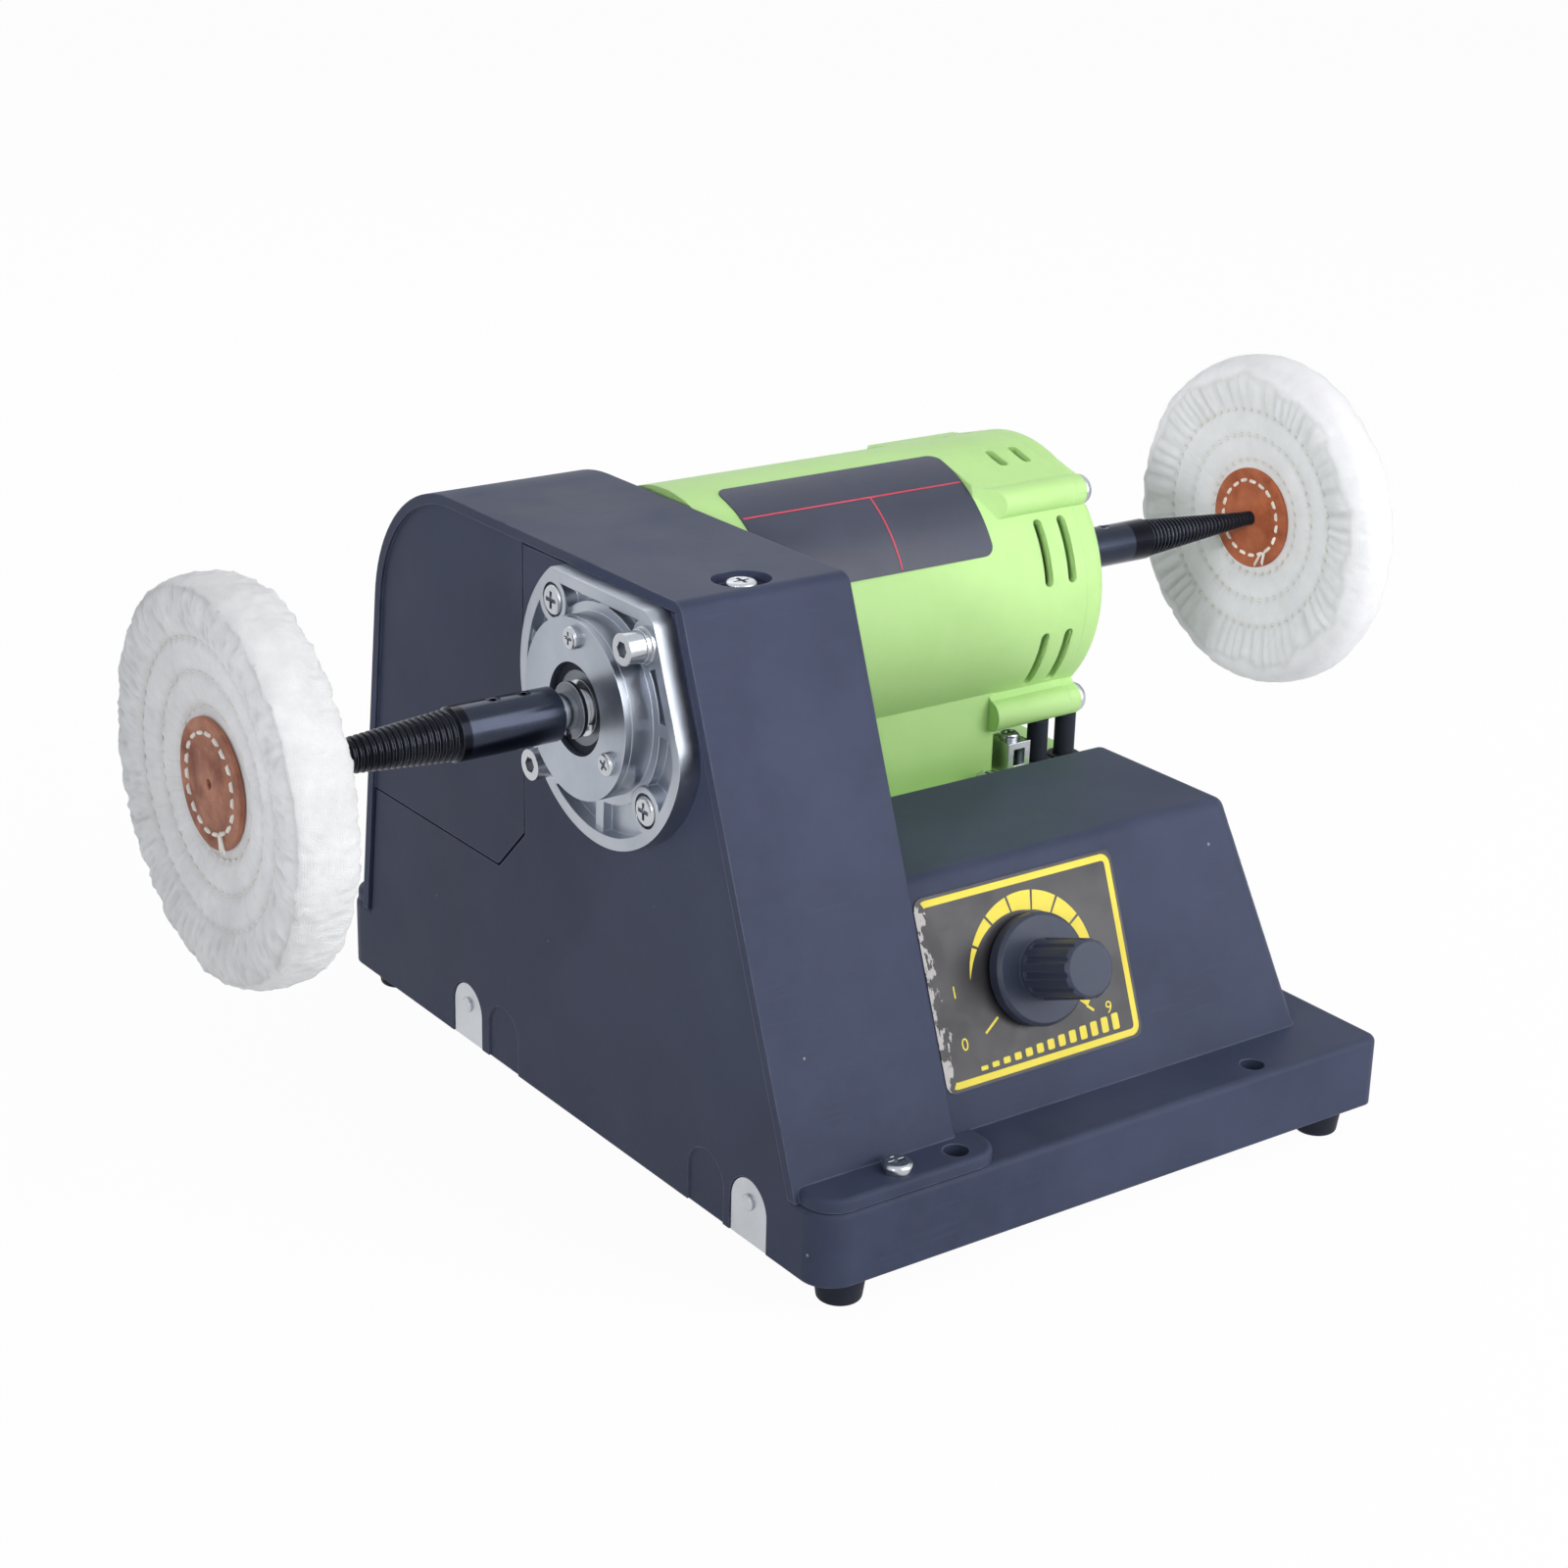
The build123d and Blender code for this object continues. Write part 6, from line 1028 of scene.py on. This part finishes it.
# print on the control label and lines on the rating plate, sizes in mm, places from the knob's axis
inkThickness = 0.04
labelPrint = {
    "lift": 0.03, "slopeBack": 0.35684, "slopeUp": 0.93416,
    "left": -35.5, "right": 33.7, "half": 26.5, "border": 1.9, "edgeGap": 0.9, "corner": 3.0,
    "scaleRadius": 21.5, "scaleStart": 175.0, "scaleEnd": -41.0, "scaleFull": 5.4, "scaleThin": 0.02,
    "scaleTaper": 0.42, "scaleSteps": 216, "segments": 9, "gapTurn": 0.75,
    "figures": (("0", (-27.0, -14.6)), ("1", (-27.4, -0.4)), ("9", (23.4, -16.2))), "figureHeight": 3.4,
    "ticks": ((214, 17.6, 23.6), (-41, 21.0, 24.0)), "tickWidth": 0.75,
    "bars": 13, "barWidth": 2.4, "barPitch": 3.9, "barLeft": -22.0, "barFoot": -22.6, "barLow": 1.2,
    "barRise": 0.28,
}


def labelPlane(look):
    # the label's face: origin on the knob's axis, X along the label, Y up the slope
    slope = Vector((0, look["slopeBack"], look["slopeUp"]))
    out = Vector((0, -look["slopeUp"], look["slopeBack"]))
    knob = midBox("speed_control_nut")
    low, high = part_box("control_label")
    depth = max(out.dot(Vector(low)), out.dot(Vector((low[0], high[1], high[2]))))
    origin = knob + out * (depth - out.dot(knob))
    return Matrix.Translation(origin) @ Matrix((Vector((1, 0, 0)), slope, out)).transposed().to_4x4()


def flatPiece(name, width, height, centre):
    deselect()
    bpy.ops.mesh.primitive_plane_add(size=1, location=(centre[0] * mm, centre[1] * mm, 0))
    piece = named(name)
    piece.scale = (width * mm, height * mm, 1)
    settle(piece)
    return piece


def makeBorder(look):
    # a frame open at its rubbed left side: the plane is inset and its middle taken out
    width, height = look["right"] - look["left"] - 2 * look["edgeGap"], 2 * (look["half"] - look["edgeGap"])
    border = flatPiece("labelBorder", width, height, ((look["left"] + look["right"]) / 2, 0))
    editAll()
    bpy.ops.mesh.bevel(offset=look["corner"] * mm, segments=6, affect="VERTICES")
    bpy.ops.mesh.select_all(action="SELECT")
    bpy.ops.mesh.inset(thickness=look["border"] * mm, depth=0)
    bpy.ops.mesh.delete(type="FACE")
    editDone()
    leftSide = (look["left"] + look["edgeGap"] + look["border"]) * mm
    selectFaces(border, lambda place, normal: place.x < leftSide)
    bpy.ops.mesh.delete(type="FACE")
    editDone()
    return border


def makeScale(look):
    # a crescent spun from one short edge, thin at its start, cut to even steps
    deselect()
    bpy.ops.mesh.primitive_plane_add(size=2 * mm, location=(look["scaleRadius"] * mm - mm, 0, 0))
    scale = named("labelScale")
    settle(scale)
    selectFaces(scale, lambda place, normal: True)
    bpy.ops.mesh.delete(type="ONLY_FACE")
    editDone()
    for vertex in scale.data.vertices:
        vertex.select = vertex.co.y > 0
    bpy.ops.object.mode_set(mode="EDIT")
    bpy.ops.mesh.select_mode(type="VERT")
    bpy.ops.mesh.delete(type="VERT")
    bpy.ops.mesh.select_all(action="SELECT")
    bpy.ops.transform.translate(value=(0, mm, 0))
    sweep = look["scaleStart"] - look["scaleEnd"]
    bpy.ops.mesh.spin(steps=look["scaleSteps"], angle=math.radians(sweep), center=(0, 0, 0), axis=(0, 0, 1))
    editDone()
    angles = [math.degrees(math.atan2(v.co.y, v.co.x)) for v in scale.data.vertices]
    turned = 1 if any(5 < angle < 60 for angle in angles) else -1
    for vertex, angle in zip(scale.data.vertices, angles):
        inner = vertex.co.length / mm < look["scaleRadius"] - 0.5
        angle = (turned * angle) % 360
        if angle > 355:
            angle -= 360
        full = look["scaleFull"] * min(1.0, max(0.0, 1 - angle / sweep) / look["scaleTaper"]) ** 0.8
        reach = (look["scaleRadius"] - (max(full, look["scaleThin"]) if inner else 0)) * mm
        where = math.radians(look["scaleEnd"] + angle)
        vertex.co = (reach * math.cos(where), reach * math.sin(where), 0)
    step = sweep / look["segments"]

    def inGap(place, normal):
        where = math.degrees(math.atan2(place.y, place.x))
        where = where if where > -100 else where + 360
        along = (where - look["scaleEnd"]) % step
        return min(along, step - along) < look["gapTurn"] and 3 < where - look["scaleEnd"] < sweep - 3
    selectFaces(scale, inGap)
    bpy.ops.mesh.delete(type="FACE")
    editDone()
    return scale


def makeFigure(text, height, centre):
    deselect()
    bpy.ops.object.text_add(location=(0, 0, 0))
    figure = bpy.context.active_object
    figure.data.body = text
    figure.data.size = height * mm * 1.42  # a figure is lower than its line of type
    figure.data.align_x, figure.data.align_y = "CENTER", "CENTER"
    bpy.ops.object.convert(target="MESH")
    figure = named("figure" + text)
    figure.location = (centre[0] * mm, centre[1] * mm, 0)
    settle(figure)
    return figure


def makeBar(width, height, centre, turn=0):
    bar = flatPiece("labelBar", width, height, (0, 0))
    editAll()
    bpy.ops.mesh.bevel(offset=min(width, height) * 0.2 * mm, segments=2, affect="VERTICES")
    editDone()
    bar.rotation_euler.z = math.radians(turn)
    bar.location = (centre[0] * mm, centre[1] * mm, 0)
    settle(bar)
    return bar


def layInk(pieces, name, matrix, lift, finishName):
    # flat print gets the thickness of its ink and goes to its place
    piece = joined(name, pieces)
    piece.data.transform(Matrix.Translation((0, 0, lift * mm)))
    editAll()
    bpy.ops.mesh.remove_doubles(threshold=0.001 * mm)
    bpy.ops.mesh.normals_make_consistent(inside=False)
    editDone()
    ink = piece.modifiers.new("ink", "SOLIDIFY")
    ink.thickness, ink.offset = inkThickness * mm, 0
    applyAll(piece)
    piece.data.transform(matrix)
    dress(piece, finishName)
    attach(piece, "machine")
    return piece


def makeLabelPrint(look):
    prints = [makeBorder(look), makeScale(look)]
    for text, place in look["figures"]:
        prints.append(makeFigure(text, look["figureHeight"], place))
    for angle, start, end in look["ticks"]:
        middle, turn = (start + end) / 2, math.radians(angle)
        spot = (middle * math.cos(turn), middle * math.sin(turn))
        prints.append(makeBar(end - start, look["tickWidth"], spot, angle))
    for step in range(look["bars"]):
        tall = look["barLow"] + look["barRise"] * step
        spot = (look["barLeft"] + look["barPitch"] * step, look["barFoot"] + tall / 2)
        prints.append(makeBar(look["barWidth"], tall, spot))
    layInk(prints, "labelPrint", labelPlane(look), look["lift"], "yellowInk")


# level and foot are degrees round the motor
plateLines = {"radius": 42.4, "width": 0.55, "level": 59.6, "foot": 27.0, "across": 0.57, "margin": 0.6}


def makePlateLines(look):
    # two thin strips on the rating plate, one along it and one down from that, bent to the motor's round
    low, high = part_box("rating_plate")
    long = (high[0] - low[0]) / mm
    along = flatPiece("plateLine", long - 2 * look["margin"], look["width"], (long / 2, 0))
    drop = math.radians(look["level"] - look["foot"]) * look["radius"]
    down = flatPiece("plateDivider", look["width"], drop, (long * look["across"], -drop / 2))
    for strip in (along, down):
        onlySelect(strip)
        editAll()
        bpy.ops.mesh.subdivide(number_cuts=15)
        editDone()
    lines = layInk([along, down], "plateLines", Matrix(), 0, "redInk")
    middleY, middleZ = motorLine
    for vertex in lines.data.vertices:
        x, up, out = vertex.co
        angle = math.radians(look["level"]) + up / (look["radius"] * mm)
        reach = look["radius"] * mm + out
        vertex.co = (low[0] + x, middleY - reach * math.cos(angle), middleZ + reach * math.sin(angle))
    lines.data.update()


makeLabelPrint(labelPrint)
makePlateLines(plateLines)
print("label printed and plate lined")


# stage, light and camera, sizes in metres
stageLook = {
    "floorSize": 14.0, "floorColour": (0.93, 0.93, 0.93, 1), "floorShown": 0.96,
    "worldColour": (0.96, 0.98, 1.0, 1), "worldLevel": 0.52, "middle": (0, 0, 0.1),
}
softboxes = {
    "keyLight": {"place": (0.5, -1.1, 0.8), "size": (1.1, 1.1), "power": 11.6, "colour": (1, 0.99, 0.97)},
    "fillLight": {"place": (-1.3, -0.7, 0.75), "size": (1.0, 1.2), "power": 1.4, "colour": (0.95, 0.97, 1)},
    "backLight": {"place": (0.2, 1.2, 1.1), "size": (1.4, 0.8), "power": 2.5, "colour": (1, 1, 1)},
    "lowLight": {
        "place": (0.42, -0.6, 0.16), "target": (0.04, -0.1, 0.05), "size": (0.3, 0.2), "power": 0.6,
        "colour": (0.95, 0.97, 1)},
    # narrow, to lift the right wheel's shaded face
    "wheelLight": {
        "place": (-0.9, -0.55, 0.5), "target": rightCentre, "size": (0.25, 0.25), "power": 0.085,
        "colour": (1, 0.98, 1), "spread": 12},
}
cameraLook = {
    "turn": -36.24, "rise": 20.74, "roll": 1.46, "place": (-0.49315, -0.65290, 0.39764),
    "focalPixels": 3065.75, "photoPixels": 1600, "sensor": 36,
}


def shownRays(tree):
    # one for rays that show a surface in the picture, nought for those that only light it
    rays = addNode(tree, "LightPath")
    shown = calc(tree, "MAXIMUM", rays.outputs["Is Camera Ray"], rays.outputs["Is Glossy Ray"])
    return calc(tree, "MAXIMUM", shown, rays.outputs["Is Transmission Ray"])


def makeFloor():
    deselect()
    bpy.ops.mesh.primitive_plane_add(size=stageLook["floorSize"], location=(0, 0, 0))
    floor = bpy.context.active_object
    floor.name = "paleFloor"
    material = bpy.data.materials.new("paleFloor")
    material.use_nodes = True
    tree = material.node_tree
    tree.nodes.clear()
    matte = addNode(tree, "BsdfDiffuse", {}, {"Color": stageLook["floorColour"]})
    glow = addNode(tree, "Emission", {}, {"Color": (1, 1, 1, 1), "Strength": 1.0})
    mix = addNode(tree, "MixShader")
    tree.links.new(times(tree, shownRays(tree), stageLook["floorShown"]), mix.inputs["Fac"])
    tree.links.new(matte.outputs[0], mix.inputs[1])
    tree.links.new(glow.outputs[0], mix.inputs[2])
    out = addNode(tree, "OutputMaterial")
    tree.links.new(mix.outputs[0], out.inputs["Surface"])
    floor.data.materials.append(material)


def addSoftbox(name, look):
    lamp = bpy.data.lights.new(name, "AREA")
    lamp.shape = "RECTANGLE"
    lamp.size, lamp.size_y = look["size"]
    lamp.energy = look["power"]
    lamp.color = look["colour"]
    lamp.spread = math.radians(look.get("spread", 180))
    holder = bpy.data.objects.new(name, lamp)
    holder.location = look["place"]
    aim = Vector(look.get("target", stageLook["middle"])) - Vector(look["place"])
    holder.rotation_euler = aim.to_track_quat("-Z", "Y").to_euler()
    bpy.context.scene.collection.objects.link(holder)


def makeWorld():
    world = bpy.data.worlds.new("studio")
    bpy.context.scene.world = world
    world.use_nodes = True
    tree = world.node_tree
    tree.nodes.clear()
    back = addNode(tree, "Background", {}, {"Color": stageLook["worldColour"]})
    level = remap(tree, shownRays(tree), 0.0, 1.0, stageLook["worldLevel"], 1.0)
    tree.links.new(level, back.inputs["Strength"])
    out = addNode(tree, "OutputWorld")
    tree.links.new(back.outputs[0], out.inputs["Surface"])


def makeCamera(look):
    # the photograph's place, turned a little about its own line of sight
    turn, rise, roll = (math.radians(look[angle]) for angle in ("turn", "rise", "roll"))
    back = Vector((math.sin(turn) * math.cos(rise), -math.cos(turn) * math.cos(rise), math.sin(rise)))
    right = (-back).cross(Vector((0, 0, 1))).normalized()
    up = right.cross(-back)
    across = right * math.cos(roll) + up * math.sin(roll)
    upward = -right * math.sin(roll) + up * math.cos(roll)
    facingPhoto = Matrix((across, upward, back)).transposed().to_4x4()
    data = bpy.data.cameras.new("photoView")
    data.sensor_width = look["sensor"]
    data.lens = look["focalPixels"] * look["sensor"] / look["photoPixels"]
    data.clip_start = 0.02
    camera = bpy.data.objects.new("photoView", data)
    camera.matrix_world = Matrix.Translation(look["place"]) @ facingPhoto
    bpy.context.scene.collection.objects.link(camera)
    bpy.context.scene.camera = camera


makeFloor()
makeWorld()
for lightName, lightLook in softboxes.items():
    addSoftbox(lightName, lightLook)
makeCamera(cameraLook)
bpy.context.scene.view_settings.view_transform = "Standard"
print("stage, light and camera set")
